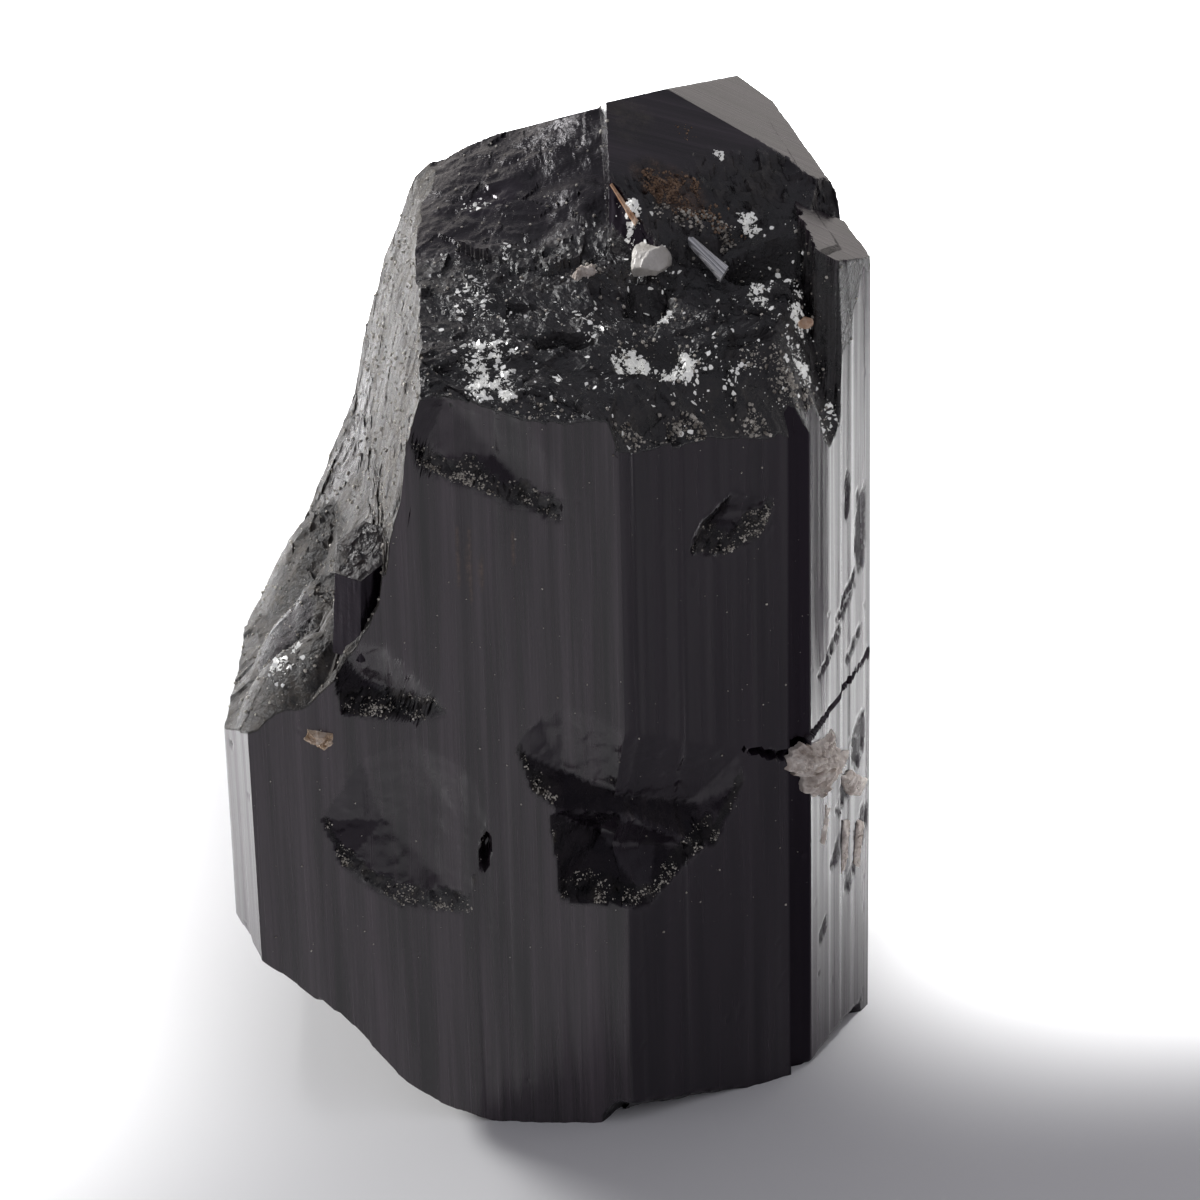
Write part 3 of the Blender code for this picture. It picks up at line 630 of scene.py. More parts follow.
def top_rough(x, y):
    """Roughness of the broken top: rolling ground with flats of three sizes, more in places."""
    warp = 0.5 * smooth_noise(x / 1.7, y / 1.7, 71.5)
    roll = 0.35 * layered(x / 3.2, y / 2.6, 72, 3)
    big = flats(x / 2.9 + 0.5 * warp, y / 2.4 - 0.5 * warp, 73)
    middle = flats(x / 1.2 + 0.4 * warp, y / 0.95 - 0.4 * warp, 79)
    small = flats(x / 0.5, y / 0.45, 83)
    grit = flats(x / 0.24, y / 0.22, 89, 1.4)
    often = 0.35 + 0.65 * ramp(smooth_noise(x / 3.0, y / 3.0, 85.5), -0.2, 0.5)
    calm = 1.0 - 0.62 * ramp(y, 1.5, 5.0)
    return roll + calm * (0.34 * big + often * (0.26 * middle + 0.12 * small) + 0.045 * grit)


def down_face(x, y, start):
    """0 on the front end face and 1 on its foot, which starts this far down from the peak."""
    gone = (x - PEAK[0]) * 0.34 - (y - PEAK[1]) * 0.94
    return np.clip((gone - start) / 1.5, 0.0, 1.0)


def broken_face(x, y):
    """Relief of the front end face: rough where rust and crumbs sit, and low towards its foot."""
    down, red = down_face(x, y, 3.4), ramp(blob(x, y, *RUST_SPOT), 0.0, 0.6)
    small = flats(x / 0.7, y / 0.6, 87)
    grain = flats(x / 0.3, y / 0.26, 88)
    return (0.3 * small + 0.1 * grain) * np.maximum(down, 0.7 * red) - 0.3 * red


FLOOR, RIGHT_END, BACK_END, FRONT_END, LOWER_END, LEFT = range(6)


def cap_height(x, y, fine=True):
    """Height of the top over the plan, and which of its surfaces is there.

    The top is the lowest of the right end face, the back end face, the left break, and the highest
    of the floor and the two blocks of grown face that the break left standing.
    """
    rough = top_rough(x, y) - pit_depth(x, y) if fine else np.zeros(np.shape(x))
    floor = floor_height(x, y) + rough
    stray = (0.0, 0.0)
    if fine:
        stray = (0.3 * layered(x / 1.4, y / 1.4, 91, 4),
                 0.22 * layered(x / 1.1, y / 1.1, 93, 4) + 0.2 * flats(x / 0.9, y / 0.5, 94))
    upper_out = past(UPPER_BLOCK_EDGES, x, y + stray[0], UPPER_BLOCK_STEEPS)
    lower_out = past(LOWER_BLOCK_EDGES, x + stray[1], y + stray[1], LOWER_BLOCK_STEEPS)
    upper = end_plane(FRONT_END_FACE, x, y) + (broken_face(x, y) if fine else 0.0)
    lower = end_plane(RIGHT_END_FACE, x, y) - LOWER_STEP_DROP
    upper = np.where(upper_out > 0.0, upper - upper_out + 0.5 * rough, upper)
    lower = np.where(lower_out > 0.0, lower - lower_out + 0.5 * rough, lower)
    height = np.maximum(floor, np.maximum(upper, lower))
    label = np.where(height == floor, FLOOR, np.where(height == upper, FRONT_END, LOWER_END))
    label = np.where((label == FRONT_END) & (upper_out > 0.0), FLOOR, label)
    label = np.where((label == LOWER_END) & (lower_out > 0.0), FLOOR, label)
    for face, mark in ((RIGHT_END_FACE, RIGHT_END), (BACK_END_FACE, BACK_END)):
        plane = end_plane(face, x, y)
        label = np.where(plane < height, mark, label)
        height = np.minimum(height, plane)
    left = left_height(x, y)
    if fine:
        left = left_height(x - left_detail(y, left), y)
    for place, half, rise, turn in LEFT_LUMPS:
        left = left + rise * blob(x, y, place, half, turn)
    label = np.where(left < height, LEFT, label)
    return np.minimum(height, left), label


print("top at the peak", round(float(cap_height(PEAK[:1], PEAK[1:2])[0][0]), 2), "mm")

# %% [markdown]
# ## Where the wall ends
#
# The wall stops where it meets the top, and starts at the foot, whose left corner is broken off.
# Both lines could be found by cutting meshes. It is simpler to ask the formulas: a guess at the
# rim is moved towards the height of the top there until it stays.

# %% Rim and foot


def rim(u):
    """The top edge of the wall at u, found by moving the height towards the top's eight times."""
    z = np.full(np.shape(u), 50.0)
    for _ in range(8):
        x, y = wall_point(u, z)
        z = 0.4 * z + 0.6 * cap_height(x, y)[0]
    x, y = wall_point(u, z)
    return x, y, cap_height(x, y)[0]


def foot_height(x, y):
    """Height of the broken corner of the foot, and 0 where the foot is whole."""
    height = np.interp(x + FOOT_BREAK_FADE * (y + HALF_DEPTH), *FOOT_BREAK.T)
    rough = 0.45 * flats(x / 4.0, y / 4.0, 95) + 0.12 * flats(x / 1.2, y / 1.2, 97)
    return np.where(height > 0.0, np.maximum(height + rough * ramp(height, 0.0, 1.5), 0.0), 0.0)


print("rim at the front edge", round(float(rim(CORNERS[2:3])[2][0]), 1), "mm up")

# %% [markdown]
# ## From arrays to meshes
#
# A grid of points becomes triangles. Each square could be split either way, and the shorter
# diagonal keeps ridges sharp, so it is chosen for all squares at once. Most pieces are rings of
# points, one above the other, with a point to close each end.

# %% Mesh builders


def split_squares(points, corners):
    """Two triangles for each square of corner numbers, along its shorter diagonal."""
    a, b, c, d = corners
    across = np.linalg.norm(points[a] - points[c], axis=1)
    other = np.linalg.norm(points[b] - points[d], axis=1)
    first = across <= other
    one = np.where(first[:, None], np.stack((a, b, c), 1), np.stack((a, b, d), 1))
    two = np.where(first[:, None], np.stack((a, c, d), 1), np.stack((b, c, d), 1))
    return np.vstack((one, two))


def ring_triangles(points, rows, columns):
    """Triangles of a closed ring of columns, with rows going up."""
    r, c = np.meshgrid(np.arange(rows - 1), np.arange(columns), indexing="ij")
    r, c = r.ravel(), c.ravel()
    after = (c + 1) % columns
    corners = (r * columns + c, r * columns + after, (r + 1) * columns + after,
               (r + 1) * columns + c)
    return split_squares(points, corners)


def closed(grid, ends=None):
    """Points and outward triangles of rings of points, closed by a point at each end.

    Unless they are given, the two end points are the means of the first and the last ring.
    """
    rows, columns = grid.shape[:2]
    first, last = (grid[0].mean(axis=0), grid[-1].mean(axis=0)) if ends is None else ends
    points = np.vstack((grid.reshape(-1, 3), [first, last]))
    c = np.arange(columns)
    after, top = (c + 1) % columns, (rows - 1) * columns
    triangles = np.vstack((
        ring_triangles(points, rows, columns),
        np.stack((np.full(columns, rows * columns), after, c), 1),
        np.stack((top + c, top + after, np.full(columns, rows * columns + 1)), 1),
    ))
    a, b, c = (points[triangles[:, k]] - points.mean(axis=0) for k in range(3))
    inward = np.einsum("ij,ij->i", a, np.cross(b, c)).sum() < 0.0
    return points, triangles[:, ::-1] if inward else triangles


def hidden_too(marks, count):
    """Marks with values for hidden points at the end: those are broken and nothing else."""
    return {name: np.append(values, np.full(count, float(name == "broken")))
            for name, values in marks.items()}


def make_piece(name, points, triangles, material, marks=None, uv=None, sharp=40.0):
    """A mesh object in metres, with point attributes, a UV map and sharp edges by angle."""
    mesh = bpy.data.meshes.new(name)
    mesh.vertices.add(len(points))
    mesh.vertices.foreach_set("co", (points * MM).astype(np.float32).ravel())
    mesh.loops.add(3 * len(triangles))
    mesh.loops.foreach_set("vertex_index", triangles.astype(np.int32).ravel())
    mesh.polygons.add(len(triangles))
    mesh.polygons.foreach_set("loop_start", np.arange(0, 3 * len(triangles), 3, dtype=np.int32))
    mesh.update(calc_edges=True)
    for mark, values in (marks or {}).items():
        layer = mesh.attributes.new(mark, "FLOAT", "POINT")
        layer.data.foreach_set("value", np.asarray(values, np.float32))
    if uv is not None:
        layer = mesh.uv_layers.new(name="wall")
        layer.data.foreach_set("uv", uv.astype(np.float32).ravel())
    mesh.shade_smooth()
    mesh.set_sharp_from_angle(angle=math.radians(sharp))
    mesh.materials.append(material)
    piece = bpy.data.objects.new(name, mesh)
    bpy.context.scene.collection.objects.link(piece)
    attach(piece, "root")
    print(name, len(points), "points,", len(triangles), "triangles")
    return piece


print("two rings of three points, closed:", len(closed(np.ones((2, 3, 3)))[1]), "triangles")

# %% [markdown]
# ## Helpers for finishes
#
# A finish is a tree of shader nodes. Nodes could be placed by hand, but a function for each step
# keeps a finish down to a few readable lines.

# %% Node helpers


def feed(socket, value):
    """Link an output to a socket, or set the socket's plain value."""
    if isinstance(value, bpy.types.NodeSocket):
        socket.id_data.links.new(value, socket)
    else:
        socket.default_value = value


def add(tree, kind, inputs=None, **settings):
    """A node of this kind, with its settings and the values or links of its inputs."""
    node = tree.nodes.new(kind)
    for key, value in settings.items():
        setattr(node, key, value)
    for key, value in (inputs or {}).items():
        feed(node.inputs[key], value)
    return node


def maths(tree, operation, a, b, clamp=False):
    """One arithmetic step."""
    node = add(tree, "ShaderNodeMath", {0: a, 1: b}, operation=operation, use_clamp=clamp)
    return node.outputs[0]


def mixed(tree, factor, one, two):
    """Blend of two colours."""
    return add(tree, "ShaderNodeMix", {0: factor, 6: one, 7: two}, data_type="RGBA").outputs[2]


def mixed_numbers(tree, factor, one, two):
    """Blend of two numbers."""
    return add(tree, "ShaderNodeMix", {0: factor, 2: one, 3: two}).outputs[0]


def spread_to(tree, value, low, high, to_low=0.0, to_high=1.0):
    """Map a value's range to another one, clamped."""
    return add(tree, "ShaderNodeMapRange",
               {0: value, 1: low, 2: high, 3: to_low, 4: to_high}).outputs[0]


def toned(tree, tones, value, low, high):
    """The dark one of two tones where the value is low, and the light one where it is high."""
    return mixed(tree, spread_to(tree, value, low, high), *((*tone, 1.0) for tone in tones))


def noise_at(tree, where, scale, detail, rough):
    """Noise texture read at a place."""
    return add(tree, "ShaderNodeTexNoise", {"Vector": where, "Scale": scale, "Detail": detail,
                                            "Roughness": rough}).outputs[0]


print("node helpers ready")

# %% [markdown]
# ## Streaks and grain
#
# Two effects are shared by several finishes: streaks along the crystal, and the grain of dull
# stone. They could be copied into each material, but a node group is built once and used with
# its own values each time.

# %% Shared groups


def new_group(name, takes, gives):
    """A node group with named inputs and outputs, and the two nodes that stand for them."""
    group = bpy.data.node_groups.new(name, "ShaderNodeTree")
    for way, sockets in (("INPUT", takes), ("OUTPUT", gives)):
        for socket, kind in sockets.items():
            group.interface.new_socket(socket, in_out=way, socket_type="NodeSocket" + kind)
    source, out = group.nodes.new("NodeGroupInput"), group.nodes.new("NodeGroupOutput")
    return group, source.outputs, out.inputs


def streak_group():
    """Group: streaks along the crystal's length, from the wall UV map's two numbers."""
    group, source, out = new_group("streaks", {"Across": "Float", "Along": "Float"},
                                   {"Fine": "Float", "Broad": "Float"})
    for name, across, along in (("Fine", 55.0, 0.7), ("Broad", 7.0, 0.25)):
        place = add(group, "ShaderNodeCombineXYZ", {
            0: maths(group, "MULTIPLY", source[0], across),
            1: maths(group, "MULTIPLY", source[1], along),
        }).outputs[0]
        feed(out[name], noise_at(group, place, 1.0, 2.5, 0.6))
    return group


def grain_group():
    """Group: mottling and a bumpy height at a place, for every dull stone surface."""
    group, source, out = new_group("grain", {"Place": "Vector", "Size": "Float"},
                                   {"Mottle": "Float", "Height": "Float"})
    feed(out[0], noise_at(group, source[0], source[1], 6.0, 0.65))
    feed(out[1], noise_at(group, source[0], maths(group, "MULTIPLY", source[1], 3.1), 4.0, 0.7))
    return group


STREAKS, GRAIN = streak_group(), grain_group()


print("node groups:", STREAKS.name, "and", GRAIN.name)

# %% [markdown]
# ## Parts of a material
#
# Every finish starts from a Principled shader with plain values. What varies over the stone is
# linked in afterwards, and these helpers read the groups and add the fine bumps.

# %% Material helpers


def new_material(name, **plain):
    """A Principled material with plain values on the shader's own sockets."""
    made = bpy.data.materials.new(name)
    made.use_nodes = True
    shader = made.node_tree.nodes["Principled BSDF"]
    for key, value in plain.items():
        shader.inputs[key.replace("_", " ")].default_value = value
    return made, made.node_tree, shader.inputs


def grain_here(tree, size):
    """The grain group at the object's own coordinates: mottling and height."""
    here = add(tree, "ShaderNodeTexCoord").outputs["Object"]
    return add(tree, "ShaderNodeGroup", {"Place": here, "Size": size}, node_tree=GRAIN).outputs


def streaks_here(tree, stretch, fine_share):
    """The streak group on the wall UV map: fine streaks, and a mix of fine and broad ones."""
    wall = add(tree, "ShaderNodeUVMap", uv_map="wall").outputs[0]
    across, along, _ = add(tree, "ShaderNodeSeparateXYZ", {0: wall}).outputs
    across = maths(tree, "MULTIPLY", across, stretch)
    fine, broad = add(tree, "ShaderNodeGroup", {"Across": across, "Along": along},
                      node_tree=STREAKS).outputs
    return fine, maths(tree, "ADD", maths(tree, "MULTIPLY", broad, 1.0 - fine_share),
                       maths(tree, "MULTIPLY", fine, fine_share))


def bumpy(tree, inputs, height, strength, distance):
    """A bump from a height into the shader's normal."""
    bump = add(tree, "ShaderNodeBump", {"Height": height, "Strength": strength,
                                        "Distance": distance})
    feed(inputs["Normal"], bump.outputs[0])


print("material helpers ready")

# %% [markdown]
# ## The skin of the tourmaline
#
# Black tourmaline is glossy with a refractive index of 1.63 and a hint of purple-brown. Where it is
# broken it is duller, and pale dust and rust-brown stains sit in the hollows. One material could be
# painted per area, but one stone has one skin, so a single material reads marks that the formulas
# leave on the mesh: how broken, how dusty and how rusty each point is, and how much painted shade
# it has. Painted shade turns the faces that are blackest in the photograph near black, with hardly
# any sheen of their own.

# %% The tourmaline
# The dark and the light tone of the grown faces, of broken stone, of dust and of rust.
FACE_TONES = ((0.010, 0.0068, 0.010), (0.062, 0.046, 0.058))
BROKEN_TONES = ((0.004, 0.0035, 0.005), (0.022, 0.018, 0.020))
DUST_TONES = ((0.024, 0.021, 0.017), (0.140, 0.119, 0.090))
RUST_TONES = ((0.030, 0.017, 0.013), (0.15, 0.088, 0.062))
# The near-black colour of the painted shade.
PAINTED_SHADE_TONE = (0.010, 0.005, 0.012, 1.0)
REFRACTION, DUST_ROUGHNESS, GRAIN_SIZE, BUMP_DEPTH = 1.63, 0.85, 900.0, 0.00016


def tourmaline_material():
    """Glossy black with streaks on grown faces, dull and stained where it is broken."""
    made, tree, inputs = new_material("black_tourmaline", IOR=REFRACTION)
    fine, both = streaks_here(tree, 1.0, 0.28)
    mottle, height = grain_here(tree, GRAIN_SIZE)
    broken, dust, rust, painted_shade = (
        add(tree, "ShaderNodeAttribute", attribute_name=name).outputs["Fac"]
        for name in ("broken", "dust", "rust", "painted_shade")
    )
    # Painted shade: where the mark is set, the face colour goes near black.
    face = mixed(tree, painted_shade, toned(tree, FACE_TONES, both, 0.38, 0.64), PAINTED_SHADE_TONE)
    colour = mixed(tree, broken, face, toned(tree, BROKEN_TONES, mottle, 0.4, 0.7))
    dust = maths(tree, "MULTIPLY", dust, spread_to(tree, height, 0.3, 0.6, 0.35, 1.0), True)
    colour = mixed(tree, dust, colour, toned(tree, DUST_TONES, mottle, 0.38, 0.62))
    colour = mixed(tree, rust, colour, toned(tree, RUST_TONES, height, 0.35, 0.65))
    feed(inputs["Base Color"], colour)
    smooth = spread_to(tree, fine, 0.3, 0.7, 0.12, 0.30)
    dull = spread_to(tree, mottle, 0.3, 0.7, 0.16, 0.44)
    rough = mixed_numbers(tree, broken, smooth, dull)
    feed(inputs["Roughness"], mixed_numbers(tree, dust, rough, DUST_ROUGHNESS))
    # Painted shade also makes the stone partly metallic, so with its near-black colour it keeps
    # hardly any sheen.
    feed(inputs["Metallic"], spread_to(tree, painted_shade, 0.6, 1.0, 0.0, 0.75))
    grooves = maths(tree, "MULTIPLY", fine, maths(tree, "SUBTRACT", 1.0, broken))
    pitted = maths(tree, "MULTIPLY", height, maths(tree, "ADD", broken, dust))
    heights = maths(tree, "ADD", maths(tree, "MULTIPLY", grooves, 0.12), pitted)
    bumpy(tree, inputs, heights, 0.8, BUMP_DEPTH)
    return made


TOURMALINE = tourmaline_material()
print("tourmaline made of", len(TOURMALINE.node_tree.nodes), "nodes")

# %% [markdown]
# ## The other minerals
#
# Feldspar is dull and cream, quartz is milky, and the loose flakes of mica shine and also glow a
# little, as painted glints. They differ only in tone, roughness and grain, and the mica's glow, so
# one function makes them all. The mica blade is striped along its length, which the streak group
# does with other numbers.

# %% Feldspar, quartz and mica


def stone_material(name, dark, light, rough, size, bump_depth, **plain):
    """A dull stone: two tones mottled by the grain group, which also gives the bump."""
    made, tree, inputs = new_material(name, Roughness=rough, **plain)
    mottle, height = grain_here(tree, size)
    feed(inputs["Base Color"], toned(tree, (dark, light), mottle, 0.35, 0.65))
    bumpy(tree, inputs, height, 0.7, bump_depth)
    return made


CREAM = stone_material("cream_feldspar", (0.50, 0.34, 0.20), (0.90, 0.78, 0.66), 0.6,
                       1500.0, 0.00008)
FELDSPAR = stone_material("feldspar", (0.44, 0.37, 0.32), (0.88, 0.82, 0.76), 0.7, 1100.0, 0.00012)
PEACH = stone_material("orange_feldspar", (0.50, 0.26, 0.14), (0.80, 0.60, 0.45), 0.6,
                       1500.0, 0.00006)
QUARTZ = stone_material("milky_quartz", (0.52, 0.49, 0.44), (0.80, 0.77, 0.72), 0.35,
                        700.0, 0.00004)
# The flakes glow a little: painted glints, not a lamp.
GLOWING_SPANGLE = stone_material("mica_spangle_glowing", (0.80, 0.80, 0.79), (0.97, 0.97, 0.95), 0.22,
                         2500.0, 0.00002, Metallic=0.15, Emission_Color=(1.0, 1.0, 0.97, 1.0),
                         Emission_Strength=0.18)
RUST = stone_material("rusty_crumb", (0.07, 0.035, 0.022), (0.42, 0.27, 0.17), 0.4,
                      2500.0, 0.00004)
BEIGE = stone_material("beige_crumb", (0.12, 0.10, 0.08), (0.78, 0.74, 0.66), 0.45,
                       1500.0, 0.00005)


def mica_material():
    """Silvery mica with darker stripes along the blade, from the same streaks as the crystal's."""
    made, tree, inputs = new_material("mica_blade", Metallic=0.3, Roughness=0.25)
    fine, both = streaks_here(tree, 1.6, 0.6)
    tones = ((0.11, 0.11, 0.12), (0.93, 0.93, 0.94))
    feed(inputs["Base Color"], toned(tree, tones, both, 0.40, 0.54))
    bumpy(tree, inputs, fine, 0.7, 0.00006)
    return made


MICA = mica_material()
print(len(bpy.data.materials), "finishes")

# %% [markdown]
# ## The column
#
# The walls run from the foot to the rim of the top. One could extrude the section and cut it, but
# then nothing fine could be worked into it. Here each column of points stands on the outline and
# each row is a share of the height, so the strips stay straight and the rim stays clean.

# %% Column grid
CORE = np.array((0.0, 0.0, 20.0))
ROWS_UP, ROWS_TO_RIM, ROWS_UNDER, RIM_GAP = 190, 24, 18, 0.15
COLUMN_SPACING = (0.25, 0.19, 0.19, 0.12, 0.15, 0.40, 0.40, 0.45, 0.40, 0.35)


def column_places():
    """Distances round the outline, closer together on the faces that the photograph shows."""
    places = [np.linspace(a, b, max(2, round((b - a) / s)), endpoint=False)
              for a, b, s in zip(CORNERS, CORNERS[1:], COLUMN_SPACING)]
    return np.concatenate(places)


def column_grid():
    """Points of the column: under the foot from the middle out, and up the wall to its rim.

    Rows are level shares of the height up to an evened rim, and only the last 24 follow the real
    one, or its steps would shear every row below.
    """
    u = column_places()
    _, _, top_z = rim(u)
    x, y, _, _ = outline(u)
    for _ in range(4):
        bottom = foot_height(x, y)
        x, y = wall_point(u, bottom)
    near = np.lib.stride_tricks.sliding_window_view(np.pad(top_z, 5, mode="wrap"), 11)
    level = np.convolve(np.pad(near.min(axis=1), 5, mode="wrap"), np.ones(11) / 11, "valid") - 0.5
    share = np.linspace(0.0, 1.0, ROWS_UP - ROWS_TO_RIM)[:, None]
    last = np.linspace(0.0, 1.0, ROWS_TO_RIM + 1)[1:, None]
    z = np.vstack((bottom + (level - bottom) * share, level + (top_z - RIM_GAP - level) * last))
    wall_x, wall_y = wall_point(np.broadcast_to(u, z.shape), z)
    out = np.linspace(0.0, 1.0, ROWS_UNDER + 2)[1:-1, None]
    under_x, under_y = wall_x[0] * out, wall_y[0] * out
    under_z = foot_height(under_x, under_y)
    points = np.stack((np.vstack((under_x, wall_x)), np.vstack((under_y, wall_y)),
                       np.vstack((under_z, z))), 2)
    return u, points


print("column of", ROWS_UP, "rows and", len(column_places()), "columns")

# %% [markdown]
# ## The column as a piece
# The finish needs to know where the column is broken, dusty and brown, and where it gets painted
# shade. Its own shape says most of that: a point well below the plain face is in a chip, and one in
# the rows under the foot is on the break. The painted shade falls on the near right face, the
# narrow strip beside it and the chip facets that turn away.

# %% Column with its marks
# The gold-brown threads on the front face: x, height, half width and half length of each.
THREADS = ((-5.7, 45.6, 0.13, 2.6), (-5.0, 45.0, 0.20, 3.2), (-4.3, 44.4, 0.12, 2.4),
           (-2.1, 46.3, 0.10, 1.4))


def brown_threads(u, z):
    """How brown the front face is: most along the middle of each thread."""
    brown = np.zeros(np.shape(u))
    for x, height, half_width, half_length in THREADS:
        at = CORNERS[1] + (x - SECTION[1][0])
        thread = blob(u, z, (at, height), (half_width, half_length))
        brown = np.maximum(brown, 0.55 * ramp(thread, 0.0, 0.5))
    return brown


def column_marks(u, x, y, z, is_under):
    """How broken, dusty and rusty the column is at each of its points, and its painted shade."""
    plain_x, plain_y, nx, ny = plain_wall(u, z)
    deep = (plain_x - x) * nx + (plain_y - y) * ny
    front = y < 0.0
    band = lower_band(x, z) * front * (u < CORNERS[3] + 0.5)
    slope_painted_shade = chip_facets(x, z)[1] * front
    broken = np.where(is_under, 1.0, ramp(deep, 0.25, 0.5) * np.where(front, 0.10, 1.0))
    broken = np.maximum(broken, np.maximum(band, 0.6 * ramp(slope_painted_shade, 0.9, 1.0)))
    patches = layered(x / 1.2, z / 1.2, 101, 4)
    dust = np.where(is_under, 0.3, 0.0) + band * ramp(patches, 0.1, 0.9) * 0.5
    # Painted shade on the near right face and, in full, on the narrow strip beside it, which mirror
    # dim ground.
    painted_shade = 0.75 * ((u > CORNERS[2]) & (u < CORNERS[3])) + ((u >= CORNERS[3]) & (u < CORNERS[4]))
    return {"broken": np.maximum(broken, 0.35 * smears(u, z)), "painted_shade": np.maximum(painted_shade, slope_painted_shade),
            "dust": np.clip(dust, 0.0, 1.0), "rust": brown_threads(u, z)}


def build_column():
    """The column with its foot and a hidden cone that closes its top inside the stone."""
    u, grid = column_grid()
    points, triangles = closed(grid, ((0.0, 0.0, 0.0), CORE))
    every_u = np.tile(u, len(grid))
    is_under = np.repeat(np.arange(len(grid)) < ROWS_UNDER, len(u))
    marks = hidden_too(column_marks(every_u, *points[:-2].T, is_under), 2)
    corner_u = np.append(every_u, (0.0, 0.0))[triangles]
    wraps = np.ptp(corner_u, axis=1)[:, None] > PERIMETER / 2.0
    corner_u = corner_u + PERIMETER * (wraps & (corner_u < PERIMETER / 2.0))
    uv = np.stack((corner_u, points[triangles][..., 2]), 2) / 10.0
    return make_piece("crystal_column", points, triangles, TOURMALINE, marks, uv)


column = build_column()
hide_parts("tourmaline_crystal")

# %% [markdown]
# ## The cap
#
# The broken top, the grown end faces and the left break are one surface over the plan. Its grid
# is pulled over the outline's four long sides, and then its points slide along each row until
# they are evenly spaced on the stone, closer together where the camera looks.

# %% Cap of the crystal
CAP_ROWS, CAP_COLUMNS, DENSE_COLUMNS = 226, 420, 1400


def plan_grid(rows, columns):
    """A dense grid over the plan: the sides' blend, less the corners' blend, plus u at the edge."""
    s = np.linspace(0.0, 1.0, rows)
    s = s - 0.16 * np.sin(math.pi * s)
    t = np.linspace(0.0, 1.0, columns)
    front_u = CORNERS[1] + (CORNERS[4] - CORNERS[1]) * t
    back_u = CORNERS[8] + (CORNERS[7] - CORNERS[8]) * t
    right_u = CORNERS[4] + (CORNERS[7] - CORNERS[4]) * s
    left_u = PERIMETER + CORNERS[1] + (CORNERS[8] - PERIMETER - CORNERS[1]) * s
    front, back, right, left = (np.stack(rim(u)[:2], 1) for u in (front_u, back_u, right_u, left_u))
    front[0], front[-1], back[0], back[-1] = left[0], right[0], left[-1], right[-1]
    sc, tc = s[:, None, None], t[None, :, None]
    grid = (1 - sc) * front + sc * back + (1 - tc) * left[:, None] + tc * right[:, None]
    grid -= ((1 - sc) * (1 - tc) * front[0] + (1 - sc) * tc * front[-1]
             + sc * (1 - tc) * back[0] + sc * tc * back[-1])
    return grid, (front_u, back_u, left_u, right_u)


def slide_even(grid, columns):
    """Each row's points moved along it to equal steps of weighted length on the stone."""
    height, label = cap_height(grid[..., 0], grid[..., 1], fine=False)
    steps = np.sqrt(np.sum(np.diff(grid, axis=1) ** 2, 2) + np.diff(height, axis=1) ** 2)
    weight = np.where(label[:, 1:] == LEFT, 0.62, 1.0)
    gone = np.cumsum(np.pad(steps * weight, ((0, 0), (1, 0))), axis=1)
    gone = gone / gone[:, -1:]
    smooth = np.array([np.convolve(np.pad(c, 6, mode="edge"), np.ones(13) / 13, "valid")
                       for c in gone.T]).T
    smooth[:, 0], smooth[:, -1] = 0.0, 1.0
    wanted = np.linspace(0.0, 1.0, columns)
    place = np.arange(grid.shape[1])
    at = np.array([np.interp(wanted, row, place) for row in smooth])
    rows = np.arange(len(grid))[:, None]
    low = np.clip(at.astype(int), 0, grid.shape[1] - 2)
    part = (at - low)[..., None]
    return grid[rows, low] * (1 - part) + grid[rows, low + 1] * part, at


def snap_to_creases(grid, axis, pairs):
    """Points next to a crease between two end faces moved onto it, along rows or columns."""
    _, label = cap_height(grid[..., 0], grid[..., 1], fine=False)
    if axis == 0:
        here, there = (slice(1, -2), slice(1, -1)), (slice(2, -1), slice(1, -1))
    else:
        here, there = (slice(1, -1), slice(1, -2)), (slice(1, -1), slice(2, -1))
    one, two = label[here], label[there]
    wanted = np.zeros(one.shape, bool)
    for a, b in pairs:
        wanted |= ((one == a) & (two == b)) | ((one == b) & (two == a))
    low, high = np.zeros(one.shape), np.ones(one.shape)
    start, end = grid[here], grid[there]
    for _ in range(14):
        middle = (low + high) / 2.0
        at = start + (end - start) * middle[..., None]
        _, found = cap_height(at[..., 0], at[..., 1], fine=False)
        low, high = np.where(found == one, middle, low), np.where(found == one, high, middle)
    at = start + (end - start) * low[..., None]
    made = grid.copy()
    nearer = wanted & (low <= 0.5)
    further = wanted & (low > 0.5)
    made[here] = np.where(nearer[..., None], at, made[here])
    made[there] = np.where(further[..., None], at, made[there])
    return made


print("cap grid of", CAP_ROWS, "by", CAP_COLUMNS, "points")

# %% [markdown]
# ## The cap as a mesh
#
# The grid gets a skirt that goes down just inside the walls, so that no gap shows at the rim, and
# a cone that closes it. The two crystal pieces could be joined there, but then their grids would
# have to match.

# %% Cap mesh
SKIRT_DROPS, SKIRT_SET_IN = (0.4, 1.1), 0.03


def edge_of(rows, columns, at, sides):
    """The numbers of the grid's outer points, once round, and how far round the outline each is."""
    front_u, back_u, left_u, right_u = sides
    dense_at = np.arange(len(front_u))
    ring = np.concatenate((
        np.arange(columns), np.arange(1, rows) * columns + columns - 1,
        (rows - 1) * columns + np.arange(columns - 2, -1, -1), np.arange(rows - 2, 0, -1) * columns,
    ))
    ring_u = np.concatenate((
        np.interp(at[0], dense_at, front_u), right_u[1:],
        np.interp(at[-1], dense_at, back_u)[-2::-1], left_u[-2:0:-1],
    ))
    return ring, ring_u


